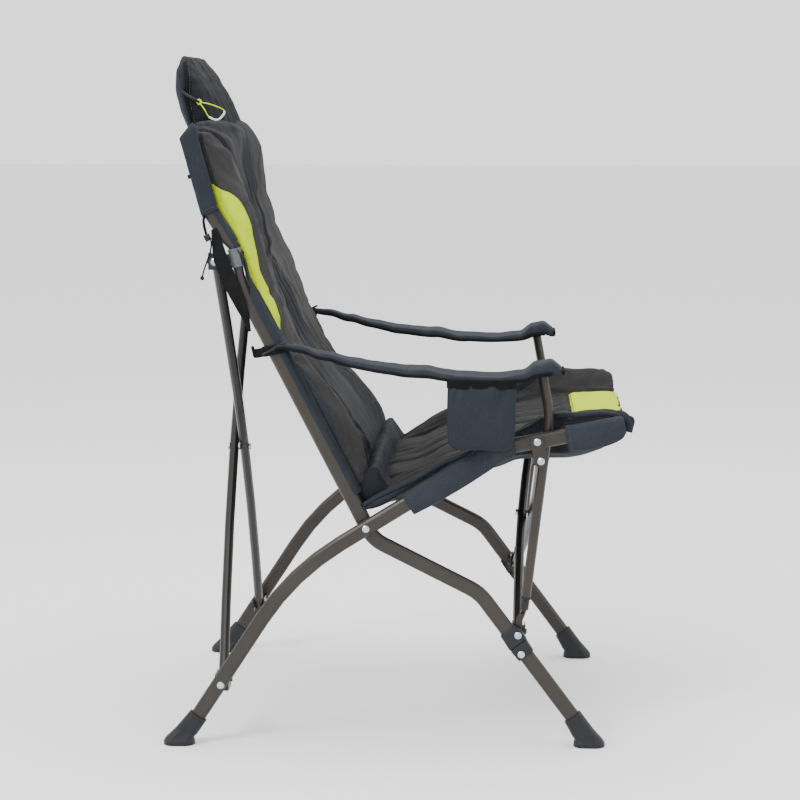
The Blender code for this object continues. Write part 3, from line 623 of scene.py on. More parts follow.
def make_area(name, place, size, power, target=(0, 0, 0.5)):
    data = bpy.data.lights.new(name, "AREA")
    data.shape = "RECTANGLE"
    data.size, data.size_y = size
    data.energy = power
    light = bpy.data.objects.new(name, data)
    light.location = place
    light.rotation_euler = (Vector(target) - Vector(place)).to_track_quat("-Z", "Y").to_euler()
    bpy.context.scene.collection.objects.link(light)


def make_studio():
    bm = bmesh.new()
    bmesh.ops.create_grid(bm, x_segments=2, y_segments=2, size=30)
    n = Nodes("floor")
    n.settings(roughness=0.9, base_color=(0.88, 0.88, 0.885, 1), specular_ior_level=0.1)
    MATERIALS["floor"] = n.material
    floor = piece("floor", bm, "floor")
    floor.location.z = -0.0005
    world = bpy.data.worlds.new("studio")
    world.use_nodes = True
    world.node_tree.nodes["Background"].inputs["Color"].default_value = (1, 1, 1, 1)
    world.node_tree.nodes["Background"].inputs["Strength"].default_value = 1.7
    bpy.context.scene.world = world
    make_area("key", (-1.8, -2.2, 3.1), (1.3, 1.3), 110)
    make_area("overhead", (0.3, 0.4, 3.4), (2.2, 2.2), 60)
    make_area("front", (3.0, -1.0, 1.6), (1.0, 1.8), 18)


# ---------------------------------------------------------------- carried-over CAD pieces
def dress_frame():
    slots = {s["node"]: s["material_slot"] for s in frame["record"]["subparts"]}
    dark = ("front_falling_tube", "front_rising_tube", "rear_falling_tube", "rear_rising_tube")
    for name, obj in frame["nodes"].items():
        material = slots[name]
        if material in ("charcoal_fabric", "navy_fabric"):
            material = "navy"
        if name in dark or "bracket" in name:
            material = "dark_tube"
        if name.endswith("back_collar"):
            material = "collar"
        obj.data.materials.clear()
        obj.data.materials.append(MATERIALS[material])


# ---------------------------------------------------------------- the back cushion
WAIST = 0.785                     # height where the middle panel's seams draw together
BACK_PLEATS = mirrored([
    ((0.010, 0.79), (0.014, 0.985), 0.0050, 0.0050), ((0.016, 0.79), (0.052, 0.985), 0.0046, 0.0050),
    ((0.022, 0.795), (0.085, 0.965), 0.0052, 0.0050), ((0.030, 0.80), (0.120, 0.955), 0.0042, 0.0045),
    ((0.034, 0.805), (0.165, 0.935), 0.0036, 0.0045), ((0.006, 0.78), (0.022, 0.60), 0.0050, 0.0050),
    ((0.016, 0.78), (0.052, 0.58), 0.0046, 0.0050), ((0.026, 0.778), (0.082, 0.60), 0.0046, 0.0045),
    ((0.034, 0.772), (0.130, 0.63), 0.0034, 0.0045), ((0.040, 0.77), (0.175, 0.66), 0.0030, 0.0045),
    ((0.196, 0.515), (0.128, 0.67), 0.0050, 0.0055), ((0.202, 0.52), (0.168, 0.68), 0.0050, 0.0055),
    ((0.208, 0.52), (0.222, 0.655), 0.0052, 0.0060), ((0.198, 0.50), (0.110, 0.42), 0.0046, 0.0050),
    ((0.204, 0.50), (0.172, 0.415), 0.0050, 0.0055), ((0.210, 0.505), (0.226, 0.418), 0.0050, 0.0055),
    ((0.215, 0.51), (0.262, 0.43), 0.0045, 0.0050), ((0.262, 0.86), (0.150, 0.905), 0.0022, 0.0045),
    ((0.272, 0.73), (0.160, 0.745), 0.0026, 0.0050), ((0.268, 0.68), (0.175, 0.72), 0.0026, 0.0050),
    ((0.274, 0.63), (0.215, 0.60), 0.0030, 0.0050)])
# offset of the front edge of the navy band that runs down each side
GUSSET = [(0.404, 0.016), (0.45, 0.018), (0.50, 0.026), (0.56, 0.034), (0.61, 0.038), (0.645, 0.037), (0.68, 0.024),
          (0.80, 0.0225), (0.93, 0.018), (1.022, 0.017)]


def back_point(y, offset, z):
    base, forward = upright_at(z)
    return Vector((base.x + forward.x * offset, y, z + forward.z * offset))


def back_place(point):
    """Inverse of back_point: offset from the upright's line and height along it."""
    z = point.z
    for _ in range(2):
        base, forward = upright_at(z)
        offset = (point.x - base.x) / max(forward.x, 0.2)
        z = point.z - forward.z * offset
    base, forward = upright_at(z)
    return (point.x - base.x) * forward.x + (point.z - base.z) * forward.z, z


def back_front(y, z, top):
    """Offset of the cushion's smooth front face from the upright's line."""
    ridge = along(BACK_DEPTH, z)
    half = along(PANEL_HALF, z)
    share = abs(y) / BACK_HALF
    offset = ridge - 0.012 * (1 - smooth(0.25, 0.80, share)) - 0.010 * smooth(0.90, 1.0, share) ** 2
    offset += 0.004 * smooth(0.0, 0.05, half - abs(y)) * smooth(0.03, 0.09, half)
    offset -= 0.0075 * math.exp(-((z - WAIST + abs(y) * 0.05) / 0.014) ** 2) * math.exp(-(y / 0.16) ** 2)
    offset += 0.0035 * lumps(y * 9, z * 7, 1.7)
    offset += 0.020 * smooth(0.93, 1.015, z) * (1 - smooth(0.09, 0.20, abs(y)))
    offset -= along(LEFT_SLACK, z) * smooth(0.0, 0.15, y)
    offset += along(EDGE_RISE, z) * smooth(0.195, 0.265, -y)
    return max(BACK_REAR + 0.002 + (offset - PUFF - BACK_REAR) * top, back_rear(y) + BACK_THIN)


def back_rear(y):
    """Offset of the cushion's sagging rear face."""
    share = (y / BACK_HALF) ** 2
    return BACK_REAR - BACK_SAG * (1 - share) - (BACK_REAR - BACK_EDGE) * share ** 6


def back_rings():
    columns, rows = 72, 84
    for r in range(rows + 1):
        t = r / rows
        z = BACK_LOW + (BACK_HIGH - BACK_LOW) * t
        top = math.sqrt(max(0.0, 1 - max(0.0, (t - 0.95) / 0.05) ** 2)) * math.sqrt(min(1.0, t / 0.03))
        top = max(top, 0.10)
        half = BACK_HALF - 0.030 * smooth(0.94, 1.0, t) ** 2 - 0.010 * smooth(0.06, 0.0, t)
        ring = []
        for c in range(columns + 1):
            y = math.sin((c / columns - 0.5) * math.pi * 0.94) / math.sin(0.47 * math.pi) * (half - 0.008)
            ring.append(back_point(y, back_front(y, z, top), z))
        for side in (1, -1):
            front = back_front(side * (half - 0.008), z, top)
            for k in range(1, 6):
                bulge = 0.006 * math.sin(math.pi * k / 6) * top
                share = k / 6 if side > 0 else 1 - k / 6
                place = front + (BACK_EDGE - front) * share
                out = half - 0.005 + bulge * (1 - share) - 0.003 * smooth(0.4, 0.9, share)
                ring.append(back_point(side * out, place, z))
            if side > 0:
                for k in range(13):
                    y = half * (1 - 2 * k / 12)
                    ring.append(back_point(y * 0.97, back_rear(y), z))
        yield ring


def back_sewing(point, normal):
    """Pleats, panel seams and the side's crease, pressed into the puffed cover."""
    offset, z = back_place(point)
    forward = upright_at(z)[1]
    facing = smooth(0.15, 0.60, normal.dot(forward))
    depth = (1.35 - 0.95 * smooth(0.08, 0.19, point.y)) * creases((point.y, z), BACK_PLEATS)
    depth += crease(abs(point.y) - along(PANEL_HALF, z), 0.0040, 0.0048)
    depth += 0.0016 * lumps(point.y * 40, z * 14, 6.0)
    way = forward * depth * facing
    if abs(normal.y) > 0.5:
        edge = crease(offset - along(GUSSET, z), 0.0030, 0.0040)
        edge += crease(offset - (0.043 - 0.02 * smooth(0.66, 0.70, z)), 0.0035, 0.005) * smooth(0.66, 0.60, z)
        way.y += math.copysign(edge + 0.0012 * lumps(offset * 60, z * 30, 2.0), normal.y)
    return way


def back_zones(point, normal):
    """Signed distances into the middle panel, the side's gusset and the lime inset."""
    offset, z = back_place(point)
    facing = normal.dot(upright_at(z)[1])
    depth = offset - BACK_EDGE - 0.0025 + max(0.0, BACK_HALF - 0.010 - abs(point.y))
    panel = along(PANEL_HALF, z) - abs(point.y) if facing > -0.1 else -0.02
    gusset = max(along(GUSSET, z) - offset if abs(point.y) > 0.262 else -0.02, -0.01 * (facing + 0.2))
    edge = straight(LIME_EDGE, min(max(z, LIME_FOOT), LIME_HEAD))
    if point.y > 0:
        edge -= 0.012 * (1 - smooth(0.80, 0.82, z) * smooth(0.885, 0.860, z))
    inside = min(edge - depth, depth - along(LIME_LOW, z))
    lime = inside if LIME_FOOT < z < LIME_HEAD and facing > -0.6 else -0.02
    return panel, gusset, lime


def make_back():
    back = piece("back_cushion", skin(back_rings()), "charcoal")
    puffed(back, lambda p: back_place(p)[0] < BACK_REAR + 0.003 and abs(p.y) > BACK_HALF - 0.022, voxel=0.0055)
    sculpt(back, back_sewing)
    zones = [back_zones(v.co, v.normal) for v in back.data.vertices]
    for name, values in zip(("panel", "gusset", "lime"), zip(*zones)):
        set_attribute(back, name, values)
    subdivide(back)
    return back


def make_side_band(side):
    """The hem that wraps from the cushion's side round the near face of the upright."""
    word = SIDES[side]
    rings = []
    for r in range(81):
        z = BAND_FOOT + BAND_TALL * r / 80
        rear = straight(BAND_REAR, z)
        wave = 0.0008 * lumps(z * 40, side, 0.5)
        front = straight(BAND_FRONT, z)
        places = [(rear, 0.3024), (rear + 0.002, 0.3036), (min(0.0125, front - 0.005), 0.3036),
                  (front - 0.0042, 0.3015), (front - 0.0015, 0.2960), (front, 0.2905)]
        if side > 0:
            places = [(min(offset, 0.0125), y) for offset, y in places[:4]] + [(0.0130, 0.2960), (0.0130, 0.2905)]
        if rear > 0.0120:
            places[:3] = [(rear, 0.3010), (rear + 0.001, 0.3018), (rear + 0.002, 0.3010)]
            places[3] = (rear + 0.003, 0.2990) if side < 0 else (rear, 0.2990)
        rings.append([back_point(side * (y + wave), offset + wave, z) for offset, y in places])
    band = piece(word + "_side_band", skin(rings, closed=False), "navy", word + "_upright")
    thicken(band, 0)
    subdivide(band)


def sew_back(back):
    """Top-stitching beside the panel seams."""
    cover = Surface(back)
    rows = []
    for side in (-1, 1):
        starts = []
        for k in range(40):
            z = 0.80 + 0.205 * k / 39
            starts.append(back_point(side * (along(PANEL_HALF, z) + 0.004), 0.15, z))
        rows.append((starts, upright_at(0.9)[1] * -1))
        starts = [back_point(side * (along(PANEL_HALF, z) + 0.004), 0.15, z)
                  for z in (0.42 + 0.34 * k / 50 for k in range(51))]
        rows.append((starts, upright_at(0.6)[1] * -1))
    made = []
    for number, (starts, way) in enumerate(rows):
        made.append(stitches("back_stitches_%d" % (number + 1), cover.row(starts, way, STITCH_LIFT), None,
                             step=STITCH_STEP, dense=6))
    return made


# ---------------------------------------------------------------- the head pillow
PILLOW_REAR = [(0.955, -0.298), (0.983, -0.303), (0.990, -0.344), (1.003, -0.354), (1.020, -0.361), (1.044, -0.369),
               (1.074, -0.374), (1.103, -0.372), (1.122, -0.366), (1.136, -0.360)]
PILLOW_FRONT = [(0.955, -0.2765), (0.975, -0.2755), (0.995, -0.2775), (1.012, -0.282), (1.044, -0.298),
                (1.066, -0.311), (1.088, -0.324), (1.110, -0.339), (1.124, -0.347), (1.136, -0.357)]
PILLOW_SEAM = [(0.955, -0.330), (0.995, -0.3335), (1.03, -0.341), (1.066, -0.348), (1.09, -0.3455), (1.136, -0.356)]


def pillow_half(z):
    """Half width: narrow at the neck, wider below it where the pillow runs into the back."""
    neck = 0.010 * smooth(1.03, 1.005, z) * smooth(0.975, 1.0, z)
    return PILLOW_HALF - 0.034 * smooth(1.08, 1.137, z) ** 2 - neck + 0.030 * smooth(0.995, 0.955, z)


def pillow_point(turn, z):
    """Point of the pillow's rounded outline; turn 0 is the middle of its front."""
    front, rear = along(PILLOW_FRONT, z), along(PILLOW_REAR, z)
    round_end = math.sqrt(max(0.0, 1 - smooth(1.10, 1.136, z) ** 2))
    middle, deep = (front + rear) / 2, (front - rear) / 2 - 0.0015
    across, ahead = math.sin(turn), math.cos(turn)
    y = (pillow_half(z) - 0.003) * (0.80 + 0.20 * round_end) * bent(across, 0.42)
    x = middle + deep * bent(ahead, 0.62)
    return Vector((x + 0.0020 * lumps(y * 12, z * 14, 4.2), y, z))


PILLOW_PLEATS = mirrored([
    ((0.014, 0.960), (0.012, 1.125), 0.0040, 0.0045), ((0.050, 0.960), (0.040, 1.12), 0.0036, 0.0045),
    ((0.085, 0.965), (0.070, 1.115), 0.0040, 0.0045), ((0.125, 0.970), (0.100, 1.11), 0.0034, 0.0045),
    ((0.155, 0.975), (0.128, 1.09), 0.0034, 0.0040), ((0.030, 1.132), (0.050, 1.07), 0.0026, 0.0040),
    ((0.095, 1.128), (0.120, 1.07), 0.0026, 0.0040)])


def pillow_sewing(point, normal):
    seam = point.x - along(PILLOW_SEAM, point.z)
    depth = creases((point.y, point.z), PILLOW_PLEATS) * smooth(0.1, 0.5, normal.x)
    depth += crease(seam, 0.0032, 0.0040) * (1 - smooth(0.3, 0.8, normal.x))
    depth += 0.0014 * lumps(point.y * 30, point.z * 26, point.x * 30)
    return normal * depth


def make_pillow():
    rows, columns = 40, 80
    rings = []
    for r in range(rows + 1):
        z = 0.955 + 0.1795 * (1 - (1 - r / rows) ** 1.35)
        rings.append([pillow_point(2 * math.pi * c / columns, z) for c in range(columns)])
    pillow = piece("head_pillow_cover", skin(rings), "pillow")
    puffed(pillow, lambda p: p.z > 1.126 or p.z < 0.985, voxel=0.0045, cap=0.004)
    sculpt(pillow, pillow_sewing)
    set_attribute(pillow, "pouch", [along(PILLOW_SEAM, v.co.z) - v.co.x for v in pillow.data.vertices])
    subdivide(pillow)
    return pillow


def pillow_side(z, side, stand=0.0012):
    """Point on the seam between the pillow's front and its rear pouch."""
    x = along(PILLOW_SEAM, z)
    best = min((pillow_point(side * (math.pi / 2 + (k - 20) * 0.04), z) for k in range(41)),
               key=lambda p: abs(p.x - x))
    return best + Vector((0, side * (stand + 0.003), 0))


def make_zip():
    """Zip along the pillow's near seam, with its slider, puller and a cord loop through a clear sleeve."""
    made = []
    line = [pillow_side(z, -1, 0.0006) for z in (1.005, 1.02, 1.035, 1.05, 1.066, 1.085, 1.105, 1.12)]
    made.append(ribbon("zip_tape", line, 0.007, 0.0016, "binding", None, across=(1, 0, 0.3)))
    slider = pillow_side(1.068, -1, 0.0035)
    way = Vector((0.80, -0.25, -0.55)).normalized()
    made.append(ribbon("zip_slider", [slider - way * 0.008, slider, slider + way * 0.008], 0.010, 0.005,
                       "zip", None, count=6))
    for side in (-1, 1):
        seam = [pillow_side(z, side, 0.0004) + Vector((0.005, 0, 0)) for z in (1.01, 1.03, 1.05, 1.07, 1.09, 1.11)]
        made.append(stitches("pillow_stitches_" + SIDES[side], seam, None, dense=16))
    pull_end = slider + Vector((0.0235, -0.004, -0.014))
    made.append(ribbon("zip_puller", [slider + way * 0.004, (slider + pull_end) / 2 + Vector((0, -0.004, 0)),
                                      pull_end], 0.0095, 0.0042, "zip", None, count=8))
    face = pull_end.y - 0.004
    knot = [pull_end + Vector((0.0035 * math.cos(a), -0.003 * math.sin(a * 1.3), 0.0035 * math.sin(a)))
            for a in (0, 1.2, 2.4, 3.6, 4.8, 6.0, 7.2)]
    made.append(round_cord("pull_knot", knot, 0.0017, "lime_cord", None))
    far_x, far_z = pull_end.x + 0.041, pull_end.z - 0.013
    loop = [pull_end, Vector((pull_end.x + 0.020, face - 0.002, pull_end.z - 0.004)), Vector((far_x, face, far_z)),
            Vector((far_x - 0.001, face - 0.001, far_z - 0.009)),
            Vector((far_x - 0.011, face - 0.002, far_z - 0.0165)),
            Vector((far_x - 0.024, face - 0.002, far_z - 0.0115)),
            Vector((pull_end.x + 0.010, face - 0.003, pull_end.z - 0.013)), pull_end]
    made.append(round_cord("pull_loop", loop, 0.0009, "lime_cord", None, count=70))
    sleeve = spline(loop, 70)[22:52]
    made.append(round_cord("pull_sleeve", sleeve[::4], 0.0018, "clear", None, count=30))
    return made


# ---------------------------------------------------------------- the seat cushion
SEAT_BELOW = [(-0.050, 0.392), (0.02, 0.404), (0.084, 0.4225), (0.128, 0.436), (0.168, 0.459), (0.209, 0.473),
              (0.281, 0.476), (0.338, 0.486), (0.372, 0.503), (0.390, 0.528)]


def seat_half(x):
    """The seat's edge lies over the rail, and runs inside the arm post where it passes."""
    gap = smooth(0.196, 0.222, x) * (1 - smooth(0.268, 0.292, x))
    return SEAT_HALF - 0.026 * gap


def seat_top(x, y):
    """Smooth top of the seat: a low middle between two raised bolsters."""
    edge = straight(SEAT_EDGE, min(x, 0.365))
    share = abs(y) / seat_half(x)
    hollow = (0.016 + 0.018 * smooth(0.12, 0.30, x)) * smooth(-0.05, 0.06, x)
    dip = hollow * (1 - smooth(0.60, 0.98, share))
    bolster = 0.007 * math.exp(-((abs(y) - 0.250) / 0.034) ** 2)
    bolster += 0.008 * smooth(0.17, 0.25, y) * smooth(-0.01, 0.05, x) * smooth(0.33, 0.27, x)
    wave = 0.0045 * lumps(x * 12, y * 9, 2.0)
    return edge - dip + bolster + wave - 0.004 * smooth(0.90, 1.0, share) - PUFF


SEAT_WRINKLES = mirrored([
    ((0.000, 0.235), (0.085, 0.275), 0.0030, 0.0045), ((0.020, 0.215), (0.105, 0.205), 0.0028, 0.0045),
    ((0.130, 0.285), (0.190, 0.215), 0.0028, 0.0045), ((0.330, 0.200), (0.365, 0.275), 0.0030, 0.0045),
    ((0.300, 0.245), (0.225, 0.275), 0.0026, 0.0045), ((0.240, 0.205), (0.290, 0.262), 0.0024, 0.0045)], (1, -1))


def seat_sewing(point, normal):
    """The sewn channels along the seat, the front cross seam and small wrinkles."""
    x, y = point.x, point.y
    depth = crease(abs(y) - 0.065, 0.0050, 0.0050) * smooth(0.315, 0.295, x)
    low, high = next(pair for pair in ((0.0, 0.065), (0.065, 0.192), (0.192, 0.40)) if abs(y) < pair[1])
    depth += 0.0055 * max(0.0, 1 - ((2 * abs(y) - low - high) / (high - low)) ** 2) if high < 0.3 else 0.0
    depth += crease(abs(y) - 0.192, 0.0058, 0.0055)
    depth += crease(x - 0.300, 0.0045, 0.0050) * smooth(0.195, 0.185, abs(y))
    depth += creases((x, y), SEAT_WRINKLES)
    depth += 0.0018 * lumps(x * 40, y * 34, 5.0)
    return normal * depth * smooth(-0.1, 0.4, normal.z + 0.7 * max(normal.x, 0.0))


def seat_rings():
    rows, columns = 72, 72
    for r in range(rows + 1):
        t = r / rows
        roll = max(0.0, t - 0.90) / 0.10 * math.pi / 2
        x = -0.050 + 0.398 * min(t / 0.90, 1) + 0.040 * math.sin(roll)
        shrink = max(math.cos(roll), 0.02) ** 0.7
        half = seat_half(x) - 0.008 * math.sin(roll) ** 2 - 0.003
        low = along(SEAT_BELOW, x)
        ring = []

        def add(y, z, middle):
            ring.append(Vector((x, y, middle + (z - middle) * shrink)))

        for c in range(columns + 1):
            y = half * math.sin((c / columns - 0.5) * math.pi * 0.92) / math.sin(0.46 * math.pi)
            top = seat_top(min(x, SEAT_NOSE), y)
            add(y, top, (top + low) / 2)
        top = seat_top(min(x, SEAT_NOSE), half)
        foot = max(low, straight(RAIL_LINE, x) + 0.0175)
        middle = (top + low) / 2
        turns = [math.pi * k / 5 for k in range(1, 5)]
        rounding = [(0.005 * math.sin(a), (top + foot) / 2 + (top - foot) / 2 * math.cos(a)) for a in turns]
        for out, z in rounding:
            add(half + out, z, middle)
        for k in range(17):
            share = 1 - 2 * k / 16
            lift = (foot - low) * smooth(0.90, 1.0, abs(share))
            add(min(half, 0.284) * share, low + lift - 0.012 * (1 - share ** 2), middle)
        for out, z in reversed(rounding):
            add(-half - out, z, middle)
        yield ring


def make_seat():
    seat = piece("seat_cushion", skin(seat_rings()), "seat")
    puffed(seat, lambda p: abs(p.y) > seat_half(p.x) - 0.004 or p.x > 0.382 or p.x < -0.046)
    sculpt(seat, seat_sewing)
    lime, edge, slot = [], [], []
    for v in seat.data.vertices:
        x, y, z = v.co
        middle = (seat_top(min(x, SEAT_NOSE), y) + along(SEAT_BELOW, x)) / 2
        lime.append(min(x - 0.302, 0.190 - abs(y), z - middle + 0.002))
        under = max(along(SEAT_BELOW, x) + 0.006 - z, min(x - 0.345, middle - z))
        edge.append(max(abs(y) - seat_half(x) + 0.010, under))
        slot.append(min(x - 0.160, 0.240 - x, abs(y) - 0.226))
    set_attribute(seat, "lime", lime)
    set_attribute(seat, "slot", slot)
    set_attribute(seat, "edge", edge)
    subdivide(seat)
    return seat


def sew_seat(cover):
    """Top-stitching beside the seat's seams."""
    made = []
    for side in (-1, 1):
        for number, line in enumerate((0.065, 0.192)):
            end = 0.295 if line < 0.19 else 0.372
            starts = [Vector((0.0 + end * k / 40, side * (line + 0.0045), 0.75)) for k in range(41)]
            name = "seat_stitches_%s_%d" % (SIDES[side], number + 1)
            made.append(stitches(name, cover.row(starts, (0, 0, -1), STITCH_LIFT), None, step=STITCH_STEP, dense=6))
    starts = [Vector((0.3045, -0.19 + 0.38 * k / 40, 0.75)) for k in range(41)]
    made.append(stitches("seat_stitches_front", cover.row(starts, (0, 0, -1), STITCH_LIFT), None, step=STITCH_STEP,
                         dense=6))
    return made


def make_seat_rim(side, cover):
    """The rolled binding along the seat's side edge and round its front corner, laid on the cushion."""
    points = []
    for x in (-0.046, -0.018, 0.010, 0.035, 0.060, 0.085, 0.110, 0.136, 0.160, 0.180, 0.200, 0.220, 0.240, 0.260,
              0.280, 0.300, 0.320, 0.340, 0.352):
        aim = Vector((x, side * (seat_half(x) - 0.003), straight(SEAT_EDGE, x) - 0.006))
        points.append(cover.drop(aim + Vector((0, side * 0.1, 0.1)), (0, -side, -1), 0.001))
    for roll, lower in ((0.5, 1), (0.9, 1), (1.25, 1), (1.55, 1), (1.25, -1)):
        x = SEAT_NOSE + 0.040 * math.sin(roll)
        top, low = seat_top(SEAT_NOSE, side * seat_half(x)), along(SEAT_BELOW, x)
        reach = (top - low) / 2 * max(math.cos(roll), 0.02) ** 0.7
        out = side * (seat_half(x) - 0.008 * math.sin(roll) ** 2)
        points.append(Vector((x + 0.002, out, (top + low) / 2 + lower * reach)))
    points = [p for p in points if p is not None]
    if side > 0:
        points = [p - Vector((0.012 * smooth(0.33, 0.38, p.x), 0, 0.004 + 0.008 * smooth(0.31, 0.36, p.x)))
                  for p in points]
    word = SIDES[side]
    return ribbon(word + "_seat_rim", points, 0.0105, 0.008, "navy", None, across=(0, 1, 0), count=110)


def make_seat_corner(side):
    """The gathered end of the seat's rim, which closes the corner over the rail's end."""
    points = []
    for k in range(9):
        angle = -0.20 + 2.20 * k / 8
        inner = 0.368 - (0.010 if side > 0 else 0.0)
        points.append(Vector((inner + 0.0145 * math.sin(angle), side * 0.2975,
                              (0.534 if side < 0 else 0.526) + 0.0180 * math.cos(angle))))
    word = SIDES[side]
    return ribbon(word + "_seat_corner", points, 0.015, 0.018, "navy", None, across=(0, 1, 0), count=40)


CREASE = [(-0.062, 0.402), (-0.045, 0.396), (-0.015, 0.398), (0.010, 0.406), (0.020, 0.417), (0.006, 0.424),
          (-0.009, 0.434), (-0.018, 0.449), (-0.028, 0.464), (-0.044, 0.454), (-0.056, 0.430)]


def make_crease_gusset():
    """The gathered cloth that closes the corner between the seat and the foot of the back."""
    steps = 90
    outline = spline([Vector((x, 0, z)) for x, z in CREASE + CREASE[:1]], 44)[:-1]
    middle = sum(outline, Vector()) / len(outline)
    rings = []
    for r in range(steps + 1):
        y = GUSSET_HALF * math.sin((r / steps - 0.5) * math.pi)
        share = abs(y) / GUSSET_HALF
        size = 0.55 + 0.45 * math.sqrt(max(0.0, 1 - smooth(0.955, 1.0, share) ** 2))
        ring = []
        for point in outline:
            gather = 0.0070 * lumps(y * 9, point.x * 26, point.z * 26)
            gather += 0.0020 * lumps(y * 38, point.x * 60, point.z * 30)
            away = (point - middle).normalized()
            sag = -0.014 * (1 - share ** 2) * smooth(-0.02, 0.02, point.x)
            ring.append(middle + (point - middle) * size + away * gather + Vector((0, y, sag)))
        rings.append(ring)
    # its material's navy is darkened as painted shade for the deep corner
    gusset = piece("crease_gusset", skin(rings), "crease")
    subdivide(gusset)
    return gusset


def make_rail_sleeve(name, start, end, side, bag):
    """A fabric tunnel round the rail; bag is how far its lower edge hangs below the tube."""
    rings = []
    steps = 36
    for r in range(steps + 1):
        t = r / steps
        x = start + (end - start) * t
        base, up = rail_at(x)
        hang = bag * math.sin(math.pi * min(1, 0.12 + t * 0.9)) ** 0.5
        pinch = 0.82 + 0.18 * math.sqrt(max(0.0, 1 - smooth(0.90, 1.0, t) ** 2)) if end > 0.37 else 1.0
        ring = []
        for k in range(24):
            a = 2 * math.pi * k / 24
            across, tall = math.cos(a), math.sin(a)
            wide = 0.0100 + 0.0012 * lumps(x * 40, a, side)
            high = 0.0152 if tall > 0 else 0.0146 + hang * abs(tall) ** 2
            wrinkle = 0.0011 * lumps(x * 90, tall * 2.0, 3.3 * side)
            out = bent(across, 0.55) * wide * (1 if tall > 0 else 1 - 0.35 * (-tall) ** 3)
            place = base + up * (bent(tall, 0.75) * high * pinch)
            ring.append(place + Vector((0, side * RAIL_Y + out * pinch + wrinkle, 0)))
        rings.append(ring)
    bm = skin(rings, caps=False)
    if end > 0.37:
        close_ring(bm, steps * 24, 24)
    word = SIDES[side]
    sleeve = piece(name, bm, "smooth_navy", word + "_rail")
    thicken(sleeve, 1)
    hem = []
    for k in range(25):
        a = 2 * math.pi * k / 24
        hem.append(rings[2][k % 24] + (rings[2][k % 24] - sum(rings[2], Vector()) / 24).normalized() * 0.0016)
    outer = [p for p in hem if side * (p.y - side * RAIL_Y) > -0.002]
    outer.sort(key=lambda p: p.z)
    if len(outer) > 4:
        stitches(name + "_hem", outer, word + "_rail")


# ---------------------------------------------------------------- arm slings, wraps and the cup pocket
ARM_STATIONS = [(-0.196, 0.6600, 0.2990, 0.014, 0.007), (-0.178, 0.6625, 0.3000, 0.018, 0.009),
                (-0.150, 0.6600, 0.3030, 0.030, 0.010), (-0.110, 0.6495, 0.3060, 0.048, 0.010),
                (-0.060, 0.6390, 0.3050, 0.064, 0.010), (-0.010, 0.6325, 0.3030, 0.074, 0.010),
                (0.050, 0.6275, 0.3015, 0.083, 0.011), (0.110, 0.6200, 0.3015, 0.086, 0.009),
                (0.170, 0.6180, 0.3015, 0.086, 0.008), (0.212, 0.6215, 0.3010, 0.082, 0.011),
                (0.236, 0.6320, 0.3000, 0.076, 0.019), (0.258, 0.6350, 0.3000, 0.070, 0.021),
                (0.274, 0.6275, 0.3000, 0.062, 0.015), (0.279, 0.6240, 0.3000, 0.050, 0.006)]


def arm_at(x):
    """The arm's middle line at a place along it: height, lateral place, width and thickness."""
    return [along([(s[0], s[k]) for s in ARM_STATIONS], x) for k in (1, 2, 3, 4)]


def arm_flattens(obj, side):
    """Hangs the piece on its arm post's body and gives it a mesh of its own."""
    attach(obj, ("left" if side > 0 else "right") + "_post")
    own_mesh(obj)


def make_arm_sling(side):
    """The padded arm with its two edge tapes and the tape round its front end."""
    word = SIDES[side]
    start, end = ARM_STATIONS[0][0], ARM_STATIONS[-1][0]
    steps = 96
    rings, borders = [], {1: [], -1: []}
    for r in range(steps + 1):
        x = start + (end - start) * r / steps
        z, y, wide, thick = arm_at(x)
        z += 0.0016 * lumps(x * 26, side * 2.0, 0)
        ring = []
        for across, up in rounded(wide, thick, thick * 0.46, 4):
            share = across / (wide / 2)
            curl = -0.0050 * abs(share) ** 3 * smooth(-0.10, 0.0, x)
            ripple = 0.0013 * lumps(x * 45, share * 2, 7.0 + side)
            ring.append(Vector((x, side * y + across, z + up + curl + ripple)))
        rings.append(ring)
        if r % 4 == 0 and x < 0.272:
            for edge in (1, -1):
                drop = 0.0050 * smooth(-0.10, 0.0, x) + thick * 0.32
                borders[edge].append(Vector((x, side * y + edge * wide / 2, z - drop)))
    arm = piece(word + "_arm_cover", skin(rings), "navy")
    subdivide(arm)
    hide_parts(word + "_arm_sling")
    for edge, line in borders.items():
        name = word + ("_outer" if edge == side else "_inner") + "_arm_binding"
        tape = ribbon(name, line, 0.0050, 0.0030, "binding", None, across=(0, 0, 1))
        arm_flattens(tape, side)
    nose = [Vector((0.2775, side * 0.300 + 0.031 * math.sin(a), 0.6245 + 0.002 * math.cos(a)))
            for a in (-1.3, -0.8, -0.3, 0.3, 0.8, 1.3)]
    tip = ribbon(word + "_arm_nose", nose, 0.008, 0.0035, "binding", None, across=(0, 0, 1))
    for part in (arm, tip):
        arm_flattens(part, side)


